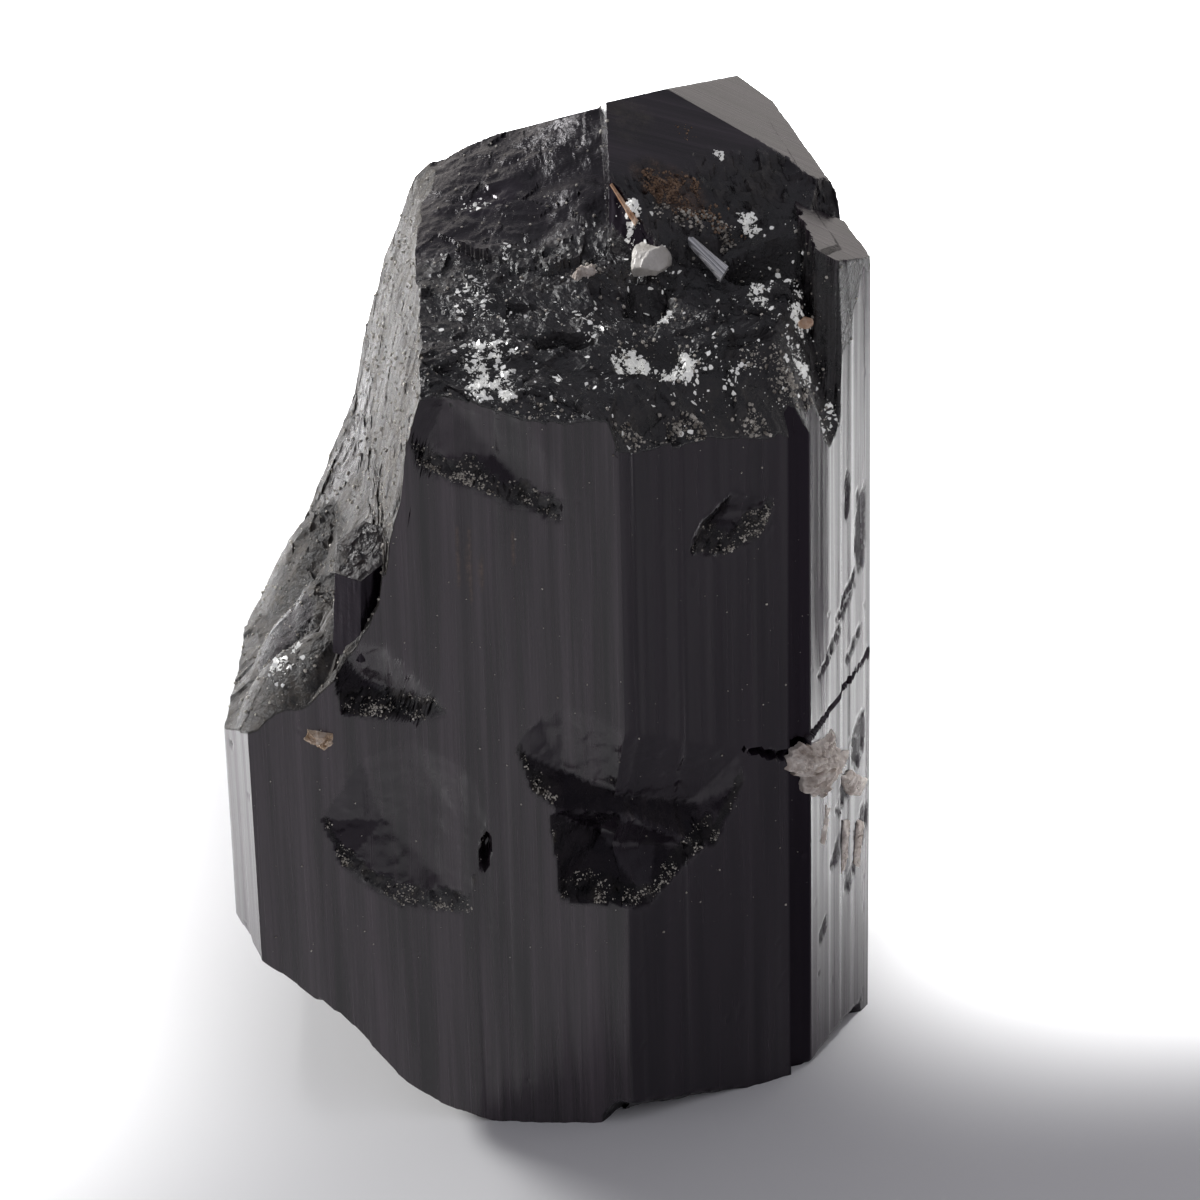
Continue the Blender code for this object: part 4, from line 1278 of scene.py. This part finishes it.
def cap_mesh(surface, at, sides):
    """Points and triangles: the top, a skirt down inside the walls, and a hidden cone under it."""
    rows, columns = surface.shape[:2]
    ring, ring_u = edge_of(rows, columns, at, sides)
    _, _, nx, ny = outline(ring_u)
    points, rings = surface.reshape(-1, 3), [ring]
    for drop in SKIRT_DROPS:
        z = points[ring, 2] - drop
        x, y = wall_point(ring_u, z)
        rings.append(len(points) + np.arange(len(ring)))
        skirt = np.stack((x - SKIRT_SET_IN * nx, y - SKIRT_SET_IN * ny, z), 1)
        points = np.vstack((points, skirt))
    points = np.vstack((points, [CORE - (0.0, 0.0, 2.0)]))
    r, c = (v.ravel() for v in np.meshgrid(np.arange(rows - 1), np.arange(columns - 1),
                                           indexing="ij"))
    here = r * columns + c
    parts = [split_squares(points, (here, here + 1, here + columns + 1, here + columns))]
    for high, low in zip(rings, rings[1:]):
        parts.append(split_squares(points, (high, low, np.roll(low, -1), np.roll(high, -1))))
    last = rings[-1]
    parts.append(np.stack((last, np.full(len(last), len(points) - 1), np.roll(last, -1)), 1))
    return points, np.vstack(parts)


print("skirt", max(SKIRT_DROPS), "mm long")

# %% [markdown]
# ## The cap as a piece
#
# The marks for the finish follow the photograph: where the break is dusty, where it is rusty
# and where it gets painted shade. They are formulas over the plan, as the shape is, so they fit it.

# %% Cap with its marks


def cap_marks(x, y, z, label):
    """How broken, dusty and rusty the cap is at each point of its top, and its painted shade."""
    left, floor, front_end = label == LEFT, label == FLOOR, label == FRONT_END
    cloud = layered(x / 2.2, y / 2.2, 111, 4)
    # The left break is dusty and paler towards its top edge and in a strip, and has painted shade
    # in two hollows.
    near_edge = np.exp(-np.clip(floor_height(x, y) - z, 0.0, 40.0) / 2.5)
    pale_strip = blob(y, z, (-9.5, 48.5), (5.0, 8.5)) ** 0.5
    streak, speckle = layered(y / 0.6, z / 7.0, 113, 4), layered(y / 0.22, z / 0.30, 119, 3)
    notch = ramp(blob(y, z, (7.5, 42.5), (5.5, 5.5)), 0.1, 0.5)
    hollow = ramp(blob(x, y, (-17.9, -6.9), (2.3, 2.5), 30.0), 0.1, 0.4)
    dust = (0.52 + 0.22 * near_edge + 0.25 * pale_strip + 0.14 * streak + 0.10 * cloud
            + 0.14 * speckle)
    dust = np.where(left, dust * (1.0 - 0.8 * notch) * (1.0 - hollow), 0.0)
    # The floor has tan dust towards the front, and painted shade at the back and on the wall beside
    # the upper block.
    back = ramp(y, 0.5, 4.0)
    tan = ramp(cloud, 0.0, 1.1) * ramp(speckle, -0.4, 1.0)
    dust = dust + np.where(floor, 0.40 * tan * (1.0 - back), 0.0)
    beside = past(UPPER_BLOCK_EDGES[:2], x, y)
    wall = floor * (beside > -0.3) * (beside < 0.4) * (z > floor_height(x, y) + 0.8)
    # The front end face is rusty in one spot, broken at its foot and dusty along a ridge.
    red, down = ramp(blob(x, y, *RUST_SPOT), 0.0, 0.45), down_face(x, y, 3.6)
    rust = 0.75 * red * ramp(layered(x / 0.7, y / 0.7, 115, 3), -0.7, 0.5)
    rust = rust + 0.25 * ramp(layered(x / 0.9, y / 0.9, 117, 3), 0.9, 1.3) * floor
    dust = dust + np.where(front_end, 0.35 * down * ramp(cloud, -0.3, 0.8), 0.0)
    ridge = front_end * ramp(blob(x, y, (6.0, 4.8), (1.9, 2.4), 20.0), 0.0, 0.8)
    dust = dust + 0.5 * ridge * ramp(layered(x / 2.4, y / 0.35, 121, 3), -0.5, 0.6)
    sheen = ramp(blob(x, y, (-3.2, 7.6), (2.4, 1.6), 30.0), 0.1, 0.4)
    broken = np.where(floor | left, 1.0, np.where(front_end, np.maximum(red, 0.9 * down), 0.0))
    broken = broken * (1.0 - 0.8 * sheen) * (1.0 - wall) * (1.0 - 0.5 * floor * back)
    # Painted shade: the wall beside the upper block, the back of the floor and the two hollows of
    # the left break go near black.
    painted_shade = np.maximum(np.maximum(wall, 0.8 * floor * back), np.maximum(hollow, notch) * left)
    marks = {"broken": broken, "dust": dust * (1.0 - wall), "rust": rust, "painted_shade": painted_shade}
    return {name: np.clip(values, 0.0, 1.0) for name, values in marks.items()}


def build_cap():
    """The cap, and the points and surface labels of its top, for flakes and crumbs to lie on."""
    dense, sides = plan_grid(CAP_ROWS, DENSE_COLUMNS)
    grid, at = slide_even(dense, CAP_COLUMNS)
    grid = snap_to_creases(grid, 0, ((RIGHT_END, FRONT_END), (BACK_END, FRONT_END),
                                     (BACK_END, FLOOR)))
    grid = snap_to_creases(grid, 1, ((RIGHT_END, BACK_END),))
    height, label = cap_height(grid[..., 0], grid[..., 1])
    surface = np.dstack((grid, height))
    points, triangles = cap_mesh(surface, at, sides)
    marks = hidden_too(cap_marks(*surface.reshape(-1, 3).T, label.ravel()),
                       len(points) - label.size)
    uv = np.stack((points[triangles][..., 1], points[triangles][..., 0]), 2) / 10.0
    piece = make_piece("crystal_cap", points, triangles, TOURMALINE, marks, uv, 32.0)
    return piece, surface, label


cap, cap_surface, cap_label = build_cap()
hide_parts("tourmaline_crystal")

# %% [markdown]
# ## Grains set into the stone
#
# The feldspar, the quartz and the mica are separate minerals that the tourmaline grew round. The
# feldspar breaks into a low dome over a ragged outline, so it is one: from the middle underneath
# out to its edge, and back over the top. A sculpted blob would need its outline drawn by hand.

# %% Domed patches


def round_edge(corners, count):
    """Evenly spread points round a closed outline with these corners."""
    loop = np.array(list(corners) + [corners[0]])
    run = np.concatenate(([0.0], np.cumsum(np.hypot(*np.diff(loop, axis=0).T))))
    at = np.linspace(0.0, run[-1], count, endpoint=False)
    return np.stack((np.interp(at, run, loop[:, 0]), np.interp(at, run, loop[:, 1])), 1)


def on_wall(x, z):
    """Points of the plain front and right faces over x and height z, and their directions."""
    px, py, nx, ny = plain_wall(np.interp(x, SECTION[1:6, 0], CORNERS[1:6]), z)
    return np.stack((px, py, z), -1), np.stack((nx, ny, np.zeros_like(z)), -1)


def on_top(x, y):
    """Points of the plain top over the plan, and the direction it faces."""
    z, step = cap_height(x, y, fine=False)[0], 0.3
    slope_x = (cap_height(x + step, y, fine=False)[0] - z) / step
    slope_y = (cap_height(x, y + step, fine=False)[0] - z) / step
    facing = np.stack((-slope_x, -slope_y, np.ones_like(z)), -1)
    return np.stack((x, y, z), -1), facing / np.linalg.norm(facing, axis=-1, keepdims=True)


def build_patch(name, corners, surface, lift, rough, material, seed, sink=0.4, fine=0.5):
    """A grain over an outline: at share r of the way out it is lift (1 - r^3) high, and broken."""
    edge = round_edge(corners, 120)
    middle = edge.mean(axis=0)
    r = np.concatenate((np.linspace(0.1, 1.0, 8), np.linspace(1.0, 0.04, 44)))[:, None]
    over = np.arange(len(r))[:, None] > 7
    ragged = 1.0 + 0.16 * layered(edge[:, 0] / 0.5, edge[:, 1] / 0.5, seed, 3) * r
    a = middle[0] + (edge[:, 0] - middle[0]) * r * ragged
    b = middle[1] + (edge[:, 1] - middle[1]) * r * ragged
    big = flats(a / fine, b / fine, seed + 10, 1.3)
    small = flats(a / (0.4 * fine), b / (0.4 * fine), seed + 20)
    height = lift * (1.0 - r ** 3) + rough * (big + 0.35 * small) * (1.0 - r ** 6)
    base, facing = surface(a, b)
    grid = base + facing * np.where(over, height, -sink)[..., None]
    points, triangles = closed(grid)
    return make_piece(name, points, triangles, material, sharp=24.0)


PATCH_CORNERS = ((15.7, 25.9), (16.2, 26.7), (16.9, 27.4), (18.0, 26.7), (19.1, 26.7), (19.4, 24.8),
                 (20.4, 23.4), (19.6, 22.4), (18.4, 21.5), (17.9, 22.4), (17.0, 23.3), (16.9, 24.6))
patch = build_patch("feldspar_patch_fine", PATCH_CORNERS, on_wall, 0.65, 0.34, FELDSPAR, 201)
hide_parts("feldspar_patch")

CRUMB_CORNERS = ((-16.5, 31.7), (-16.2, 32.5), (-15.4, 32.3), (-14.6, 32.1), (-14.5, 31.3),
                 (-15.1, 30.9), (-15.9, 31.2))
crumb = build_patch("feldspar_crumb_fine", CRUMB_CORNERS, on_wall, 0.4, 0.25, CREAM, 205,
                    0.3, 0.4)
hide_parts("feldspar_crumb")

for number, (corners, lift) in enumerate((
        (((19.7, 22.2), (20.6, 21.6), (21.9, 19.6), (21.3, 18.8), (20.4, 19.6)), 0.28),
        (((20.0, 18.0), (20.5, 17.6), (20.2, 14.2), (19.8, 13.6)), 0.12),
        (((21.0, 17.2), (21.6, 16.4), (21.2, 13.0), (20.8, 13.6)), 0.12),
        (((18.6, 21.0), (19.0, 20.4), (18.5, 17.4), (18.2, 18.2)), 0.12))):
    build_patch(f"feldspar_smear_{number}", corners, on_wall, lift, 0.10, FELDSPAR, 211 + number)

# %% [markdown]
# ## The mica blade, the quartz grain and the sliver
#
# The blade is a stack of mica sheets that widens towards the front, with stripes along it. It and
# the pale sliver are tubes with a flat section. The quartz grain is a ball with broken flats.

# %% Blade, sliver and grains


def build_blade(name, start, end, widths, thick, lift, material, seed):
    """A flat tube from start to end: width times cos a, thick times sin a, striped along it."""
    start, end = np.array(start), np.array(end)
    along = (end - start) / np.linalg.norm(end - start)
    side = np.cross(along, lift)
    side = side / np.linalg.norm(side)
    up = np.cross(side, along)
    t = np.linspace(0.0, 1.0, 60)[:, None]
    around = np.linspace(0.0, 2.0 * math.pi, 96, endpoint=False)
    flat_cos = np.sign(np.cos(around)) * np.abs(np.cos(around)) ** 0.6
    width = widths[0] + (widths[1] - widths[0]) * t + 0.05 * smooth_noise(t * 9.0, seed + 0.5)
    across = flat_cos * width / 2.0
    stripes = 0.055 * smooth_noise(across / 0.09, t * 1.5, seed + 1.5)
    steps = 0.10 * np.floor(3.0 * smooth_noise(across / 0.3, t * 2.0, seed + 2.5)) / 3.0
    high = np.sin(around) * (thick + (stripes + steps) * (np.sin(around) > 0.0))
    slant = 0.25 * width * flat_cos
    middle = start + (end - start) * t
    grid = (middle[:, None] + across[..., None] * side + high[..., None] * up
            + slant[..., None] * along * np.where(t < 0.5, 0.3, 1.0)[..., None])
    points, triangles = closed(grid)
    wide = np.append(np.broadcast_to(across, grid.shape[:2]).ravel(), (0.0, 0.0))
    far = np.append(np.broadcast_to(t, grid.shape[:2]).ravel(), (0.0, 1.0))
    uv = np.stack((wide[triangles], far[triangles]), 2) / 10.0
    return make_piece(name, points, triangles, material, None, uv, 22.0)


def build_grain(name, place, half, material, seed):
    """A stone with flat sides: its radius towards f is the least of d / (n . f) over 14 sides n."""
    dice = np.random.default_rng(seed)
    sides = dice.normal(size=(14, 3))
    sides = sides / np.linalg.norm(sides, axis=1, keepdims=True)
    away = dice.uniform(0.68, 0.9, 14)
    polar = np.linspace(0.0, math.pi, 42)[1:-1, None]
    around = np.linspace(0.0, 2.0 * math.pi, 84, endpoint=False)
    facing = np.stack((np.sin(polar) * np.cos(around), np.sin(polar) * np.sin(around),
                       np.cos(polar) + 0.0 * around), 2)
    towards = np.maximum(facing @ sides.T, 0.05)
    radius = np.minimum((away / towards).min(axis=2), 1.05)
    chips = flats(facing[..., 0] * 4.0 + facing[..., 2], facing[..., 1] * 4.0, seed, 1.2)
    grid = np.array(place) + facing * (radius + 0.03 * chips)[..., None] * np.array(half)
    points, triangles = closed(grid)
    return make_piece(name, points, triangles, material, sharp=24.0)


blade = build_blade("mica_blade_fine", (8.75, -0.35, 62.1), (12.0, -4.0, 60.0), (0.15, 1.25), 0.34,
                    (0.35, -0.5, 1.0), MICA, 221)
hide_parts("mica_blade")
quartz = build_grain("quartz_grain_fine", (7.1, -2.4, 60.4), (1.5, 1.3, 1.35), QUARTZ, 225)
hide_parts("quartz_grain")
build_blade("sliver", (4.75, 0.45, 64.6), (6.35, -1.35, 62.6), (0.22, 0.42), 0.16,
            (-0.2, -0.6, 1.0), PEACH, 227)
build_grain("orange_grain", (17.27, -5.45, 57.1), (0.6, 0.45, 0.4), PEACH, 229)
build_patch("beige_patch", ((1.9, -2.6), (2.6, -1.5), (3.6, -1.6), (3.9, -2.4), (3.2, -3.1),
                            (2.3, -3.3)), on_top, 0.75, 0.2, FELDSPAR, 231)

# %% [markdown]
# ## The small glassy crystal
#
# A six-sided crystal leans out of the broken left side. Its sides are glossy with fine grooves, and
# its slanted end is brown and rough. It is a ring of points round a hexagon, taken from its foot to
# the slanted end and in to the middle.

# %% Small crystal
SMALL_PLACE, SMALL_RADII, SMALL_LENGTH = np.array((-12.2, -12.7, 42.0)), (2.2, 2.0), 9.0
SMALL_LEAN, SMALL_END_HEIGHT, SMALL_END_SLOPES = (3.0, 7.0), 3.0, (0.35, 0.5)
SMALL_ROWS, SMALL_COLUMNS = 60, 150


def build_small_crystal():
    """Hexagon corners at 60 degrees joined by straight runs, up to z = 3 + 0.35 x + 0.5 y."""
    angle = np.radians(np.arange(7) * 60.0)
    at = np.linspace(0.0, 6.0, SMALL_COLUMNS, endpoint=False)
    x = np.interp(at, np.arange(7), -np.sin(angle))
    y = np.interp(at, np.arange(7), np.cos(angle))
    share = np.linspace(0.0, 1.0, SMALL_ROWS)[:, None]
    grooves = 0.02 * smooth_noise(at / 0.06, share * 3.0, 241.5)
    radius = SMALL_RADII[0] + (SMALL_RADII[1] - SMALL_RADII[0]) * share - grooves
    top = SMALL_END_HEIGHT + SMALL_END_SLOPES[0] * x * 2.0 + SMALL_END_SLOPES[1] * y * 2.0
    foot = -SMALL_LENGTH / 2.0
    sides = np.stack((x * radius, y * radius, foot + (top - foot) * share), 2)
    inward = np.linspace(1.0, 0.05, 30)[1:, None]
    end_x, end_y = x * SMALL_RADII[1] * inward, y * SMALL_RADII[1] * inward
    dents = (0.22 * flats(end_x / 0.9, end_y / 0.7, 243)
             + 0.06 * flats(end_x / 0.3, end_y / 0.3, 247))
    end_z = (SMALL_END_HEIGHT + SMALL_END_SLOPES[0] * end_x + SMALL_END_SLOPES[1] * end_y
             + dents * (1.0 - inward ** 4))
    grid = np.concatenate((sides, np.stack((end_x, end_y, end_z), 2)))
    right, forward = (math.radians(a) for a in SMALL_LEAN)
    lean_y = np.array([(math.cos(right), 0, math.sin(right)), (0, 1, 0),
                       (-math.sin(right), 0, math.cos(right))])
    lean_x = np.array([(1, 0, 0), (0, math.cos(forward), -math.sin(forward)),
                       (0, math.sin(forward), math.cos(forward))])
    grid = grid @ (lean_y @ lean_x).T + SMALL_PLACE
    points, triangles = closed(grid)
    is_end = (np.arange(len(grid)) >= SMALL_ROWS).repeat(SMALL_COLUMNS)
    is_end = np.append(is_end, (False, True)).astype(float)
    dusty = is_end * ramp(layered(points[:, 0] / 0.6, points[:, 1] / 0.6, 249, 3), -0.6, 0.8)
    # Painted shade turns the glossy sides near black; the slanted end has none.
    marks = {"broken": 0.2 + 0.8 * is_end, "dust": 0.45 * dusty, "rust": 0.12 * is_end,
             "painted_shade": 1.0 - is_end}
    uv = np.stack((points[triangles][..., 0], points[triangles][..., 2]), 2) / 10.0
    return make_piece("small_crystal", points, triangles, TOURMALINE, marks, uv, 30.0)


build_small_crystal()

# %% [markdown]
# ## Flakes and crumbs
#
# Mica glitters in clusters in the broken top, and pale crumbs sit in its hollows, along its rim and
# at the lower edges of the chips. Thousands of objects would be slow and the export would drop
# instances, so each kind is one joined mesh, made from arrays: a six-sided plate or a 20-sided
# crumb, repeated with its own size, shape and direction.

# %% Shapes of flakes and crumbs


def turned_frames(facing, tip, dice):
    """Three directions for each piece: its own, tipped at random from facing, and two across."""
    own = facing + tip * dice.normal(size=facing.shape)
    own = own / np.linalg.norm(own, axis=1, keepdims=True)
    one = np.cross(own, dice.normal(size=facing.shape))
    one = one / np.linalg.norm(one, axis=1, keepdims=True)
    return own, one, np.cross(own, one)


def make_many(name, points, single, material):
    """One mesh of many pieces, from the points of each and the triangles of a single one."""
    first = points.shape[1] * np.arange(len(points))[:, None, None]
    triangles = (single + first).reshape(-1, 3)
    return make_piece(name, points.reshape(-1, 3), triangles, material, sharp=15.0)


def build_flakes(name, places, facing, sizes, material, seed):
    """Six-sided plates: corners at 60 degrees at 0.5 to 1 times the size, a tenth as thick."""
    dice = np.random.default_rng(seed)
    own, one, two = turned_frames(facing, 0.55, dice)
    angle = np.radians(np.arange(6) * 60.0) + dice.uniform(-0.3, 0.3, (len(places), 6))
    reach = sizes[:, None] * dice.uniform(0.5, 1.0, (len(places), 6))
    flat = ((reach * np.cos(angle))[..., None] * one[:, None]
            + (reach * np.sin(angle))[..., None] * two[:, None])
    middle = (places + own * sizes[:, None] * 0.15)[:, None]
    half = (own * sizes[:, None] * 0.06)[:, None]
    points = np.concatenate((middle + flat + half, middle + flat - half), axis=1)
    k, after = np.arange(6), (np.arange(6) + 1) % 6
    lid = np.array([(0, 1, 2), (0, 2, 3), (0, 3, 4), (0, 4, 5)])
    single = np.concatenate((lid, lid[:, ::-1] + 6, np.stack((k, k + 6, after), 1),
                             np.stack((after, k + 6, after + 6), 1)))
    return make_many(name, points, single, material)


def build_crumbs(name, places, facing, sizes, material, seed):
    """20-sided crumbs: two poles and two rings of five, each at 0.6 to 1.1 times the size."""
    dice = np.random.default_rng(seed)
    own, one, two = turned_frames(facing, 0.5, dice)
    turn, tip = np.radians(np.arange(5) * 72.0), np.array([(0.0, 0.0, 1.0)])
    ring, level = 2.0 / math.sqrt(5.0), np.full(5, 1.0 / math.sqrt(5.0))
    above = np.stack((ring * np.cos(turn), ring * np.sin(turn), level), 1)
    below = np.stack((ring * np.cos(turn + 0.628), ring * np.sin(turn + 0.628), -level), 1)
    reach = sizes[:, None, None] * dice.uniform(0.6, 1.1, (len(places), 12, 1)) * (1.0, 1.0, 0.75)
    spread = np.concatenate((tip, above, below, -tip)) * reach
    points = (places[:, None] + spread[..., :1] * one[:, None] + spread[..., 1:2] * two[:, None]
              + (spread[..., 2:] + 0.2 * sizes[:, None, None]) * own[:, None])
    k, after = np.arange(5), (np.arange(5) + 1) % 5
    single = np.concatenate((
        np.stack((0 * k, 1 + k, 1 + after), 1), np.stack((1 + k, 6 + k, 1 + after), 1),
        np.stack((1 + after, 6 + k, 6 + after), 1), np.stack((11 + 0 * k, 6 + after, 6 + k), 1),
    ))
    return make_many(name, points, single, material)


print("a flake has 20 triangles, and so has a crumb")

# %% [markdown]
# ## Where they lie
#
# Places could be picked evenly over the plan, but then steep stone would get too few. So each
# square of the stone's own grid is picked in proportion to its area and to a density, which is a
# sum of soft spots read from the photograph and made patchy by noise.

# %% Scattering


def scatter(surface, density, count, seed, least_up=-1.0):
    """Places on a grid surface picked at random, in proportion to density times area.

    Squares that face up less than least_up get none.
    """
    dice = np.random.default_rng(seed)
    right = surface[:-1, 1:] - surface[:-1, :-1]
    up = surface[1:, :-1] - surface[:-1, :-1]
    facing = np.cross(right, up)
    area = np.linalg.norm(facing, axis=2)
    chance = (area * density[:-1, :-1] * (facing[..., 2] > least_up * area)).ravel()
    r, c = np.unravel_index(dice.choice(chance.size, count, p=chance / chance.sum()), area.shape)
    a, b = dice.random((2, count, 1))
    return surface[r, c] + a * right[r, c] + b * up[r, c], facing[r, c] / area[r, c, None]


def clusters(x, y, table):
    """Sum of soft spots, each with a place, half sizes and a strength, made patchy by noise."""
    total = np.zeros(np.shape(x))
    for place, half, strength in table:
        total = total + strength * blob(x, y, place, half) ** 0.5
    return total * ramp(layered(x / 0.8, y / 0.8, 251, 3), -0.5, 0.7)


def some_sizes(count, least, most, seed):
    """Sizes of which most are small: least plus the range times the fourth power of a number."""
    return least + (most - least) * np.random.default_rng(seed).random(count) ** 4


def strew(build, name, surface, density, count, seed, sizes, material, least_up=-1.0):
    """Flakes or crumbs on a surface. The seed and the two after it settle all that is random."""
    places, facing = scatter(surface, density, count, seed, least_up)
    build(name, places, facing, some_sizes(count, *sizes, seed + 1), material, seed + 2)


print("sizes run like", np.round(np.sort(some_sizes(5, 0.045, 0.30, 1)), 3), "mm")

# %% [markdown]
# ## Flakes and crumbs on the top
#
# Glitter is densest in the front middle of the floor, at its front left and at the foot of the
# upper block, with a few flakes anywhere. Pale crumbs line the front rim, and rusty ones fill the
# hollow at the foot of the front end face.

# %% On the top
# The middle of each cluster over the plan, its half sizes and its strength.
GLITTER = (
    ((-3.4, -10.0), (1.9, 2.6), 1.0), ((-3.2, -13.2), (1.7, 1.5), 1.6),
    ((-4.6, -4.0), (1.5, 2.6), 0.35), ((-1.4, 1.4), (1.4, 1.4), 0.15),
    ((3.0, -6.6), (1.8, 1.2), 0.30), ((6.2, -9.8), (1.7, 1.4), 3.0),
    ((8.3, -10.0), (1.4, 1.1), 2.6), ((7.9, -5.8), (0.8, 0.9), 3.0),
    ((15.6, -5.0), (2.2, 1.3), 1.2), ((17.2, -7.2), (1.6, 0.9), 0.5),
    ((6.6, -0.9), (0.9, 0.5), 3.0), ((19.2, -6.0), (1.0, 0.7), 0.4),
    ((13.4, 0.0), (1.0, 0.4), 2.0), ((-4.2, 7.4), (1.3, 0.8), 0.5),
    ((11.5, -10.2), (3.4, 2.2), 0.10), ((11.8, 3.3), (0.4, 0.3), 3.0),
)
LEFT_GLITTER = (((-17.5, -12.4), (1.3, 1.5), 1.0),)
PALE = (
    ((6.4, -14.6), (2.0, 0.7), 1.6), ((10.2, -13.0), (2.6, 0.7), 1.8),
    ((13.3, -11.5), (1.6, 0.8), 1.4), ((-0.8, -14.9), (3.2, 1.2), 0.3),
    ((14.8, -9.0), (2.4, 1.0), 0.6), ((17.3, -8.4), (0.5, 0.5), 3.0),
    ((2.8, -2.2), (1.6, 1.2), 1.2), ((8.0, -7.4), (4.0, 3.0), 0.15),
    ((10.6, -0.7), (3.6, 0.7), 1.3),
)
RUSTY = (((8.6, 1.0), (2.4, 1.0), 1.0), ((10.8, -0.2), (3.0, 0.8), 0.4),
         ((9.8, 4.2), (0.8, 0.6), 0.15))
FLAKES, RUSTY_CRUMBS, PALE_CRUMBS, FLATTEST = 5200, 1800, 4200, 0.12
top_x, top_y = cap_surface[..., 0], cap_surface[..., 1]
on_floor, on_left = cap_label == FLOOR, cap_label == LEFT
glitter = clusters(top_x, top_y, GLITTER) * ~on_left + 0.008 * on_floor * (top_y < 0.0)
glitter = glitter + 0.8 * clusters(top_x, top_y, LEFT_GLITTER)
# The flakes' finish glows a little, as painted glints.
strew(build_flakes, "mica_flakes", cap_surface, glitter, FLAKES, 301, (0.045, 0.30), GLOWING_SPANGLE,
      FLATTEST)
rusty = clusters(top_x, top_y, RUSTY)
strew(build_crumbs, "rusty_crumbs", cap_surface, rusty, RUSTY_CRUMBS, 313, (0.03, 0.14), RUST)
pale = clusters(top_x, top_y, PALE) * ~on_left + 0.01 * on_floor + 0.03 * on_left
strew(build_crumbs, "top_crumbs", cap_surface, pale, PALE_CRUMBS, 305, (0.035, 0.19), BEIGE)

# %% [markdown]
# ## Crumbs in the chips
#
# The lower edges of the chips are grainy, as crushed stone stays there. The walls' grid is made
# again for the front faces, and nothing is put where the broken top or left side has taken them.

# %% On the front faces
CHIP_CRUMBS = 4200
wall_u = np.linspace(CORNERS[1], CORNERS[4], 420)
wall_z = np.linspace(14.0, 57.5, 500)[:, None] + 0.0 * wall_u
wall_x, wall_y = wall_point(np.broadcast_to(wall_u, wall_z.shape), wall_z)
wall_surface = np.stack((wall_x, wall_y, wall_z), 2)
band = 0.25 * lower_band(wall_x, wall_z) + lower_band(wall_x, wall_z, 0.7)
standing = wall_z < cap_height(wall_x, wall_y)[0] - 0.1
grainy = (band * ramp(layered(wall_x, wall_z, 309, 3), -0.3, 0.8) + 0.0008) * standing
strew(build_crumbs, "chip_crumbs", wall_surface, grainy, CHIP_CRUMBS, 310, (0.020, 0.11), BEIGE)

# %% [markdown]
# ## Studio
#
# Black glossy stone shows what it mirrors. In the photograph the front faces mirror dim ground and
# stay dark, while the side faces mirror bright ground. One lamp alone can't do both, so the key
# lights the stone from the left and behind, and three lamps that look straight down, each with a
# honeycomb, light only the ground behind the crystal and beside it.

# %% Floor, world and lamps
FLOOR_RINGS = (0.0001, 60.0, 300.0, 900.0, 3000.0)
FLOOR_GREY = (0.86, 0.86, 0.86, 1)
CAMERA_SIDE, FAR_SIDE, OVERHEAD = ((0.18, 0.17, 0.19, 1), (1.04, 0.98, 0.94, 1),
                                   (0.30, 0.30, 0.33, 1))
# Place and aim of each lamp and its size, all in mm, its power in watts and its honeycomb's angle.
LAMPS = {
    "key": ((-433.0, 230.0, 260.0), (0.0, 0.0, 30.0), (140.0, 140.0), 2.5, 180.0),
    "ground light behind": ((0.0, 175.0, 125.0), (0.0, 175.0, 0.0), (400.0, 150.0), 1.0, 66.0),
    "ground light right": ((76.0, 34.0, 80.0), (76.0, 34.0, 0.0), (98.0, 72.0), 0.066, 30.0),
    "ground light left": ((-80.0, 24.0, 80.0), (-80.0, 24.0, 0.0), (90.0, 96.0), 0.042, 36.0),
}


def make_floor():
    """A wide, pale, level disc that the crystal stands on."""
    around = np.linspace(0.0, 2.0 * math.pi, 96, endpoint=False)
    r, a = np.meshgrid(FLOOR_RINGS, around, indexing="ij")
    points = np.stack((r * np.cos(a), r * np.sin(a), np.zeros_like(r)), 2).reshape(-1, 3)
    triangles = ring_triangles(points, len(FLOOR_RINGS), len(around))[:, ::-1]
    mesh = bpy.data.meshes.new("floor")
    mesh.from_pydata((points * MM).tolist(), [], triangles.tolist())
    made, _, _ = new_material("pale_floor", Base_Color=FLOOR_GREY, Roughness=0.9)
    mesh.materials.append(made)
    floor = bpy.data.objects.new("floor", mesh)
    bpy.context.scene.collection.objects.link(floor)


def make_world():
    """A bright wall behind the crystal, dim overhead and dark on the camera's side."""
    world = bpy.data.worlds.new("studio")
    world.use_nodes = True
    bpy.context.scene.world = world
    tree = world.node_tree
    place = add(tree, "ShaderNodeTexCoord").outputs["Generated"]
    _, back, up = add(tree, "ShaderNodeSeparateXYZ", {0: place}).outputs
    wall = mixed(tree, spread_to(tree, back, -0.3, 0.3), CAMERA_SIDE, FAR_SIDE)
    feed(tree.nodes["Background"].inputs[0],
         mixed(tree, spread_to(tree, up, 0.28, 0.48), wall, OVERHEAD))


def make_lamp(name, place, aim, size, power, spread):
    """A rectangular lamp at a place, facing another; a spread of 180 degrees is no honeycomb."""
    data = bpy.data.lights.new(name, "AREA")
    data.shape = "RECTANGLE"
    data.size, data.size_y = size[0] * MM, size[1] * MM
    data.energy, data.spread = power, math.radians(spread)
    lamp = bpy.data.objects.new(name, data)
    lamp.location = Vector(place) * MM
    lamp.rotation_mode = "QUATERNION"
    lamp.rotation_quaternion = (Vector(place) - Vector(aim)).to_track_quat("Z", "Y")
    bpy.context.scene.collection.objects.link(lamp)


make_floor()
make_world()
for lamp_name, lamp_values in LAMPS.items():
    make_lamp(lamp_name, *lamp_values)
print("floor, world and", len(LAMPS), "lamps")
bpy.context.scene.view_settings.view_transform = "Standard"
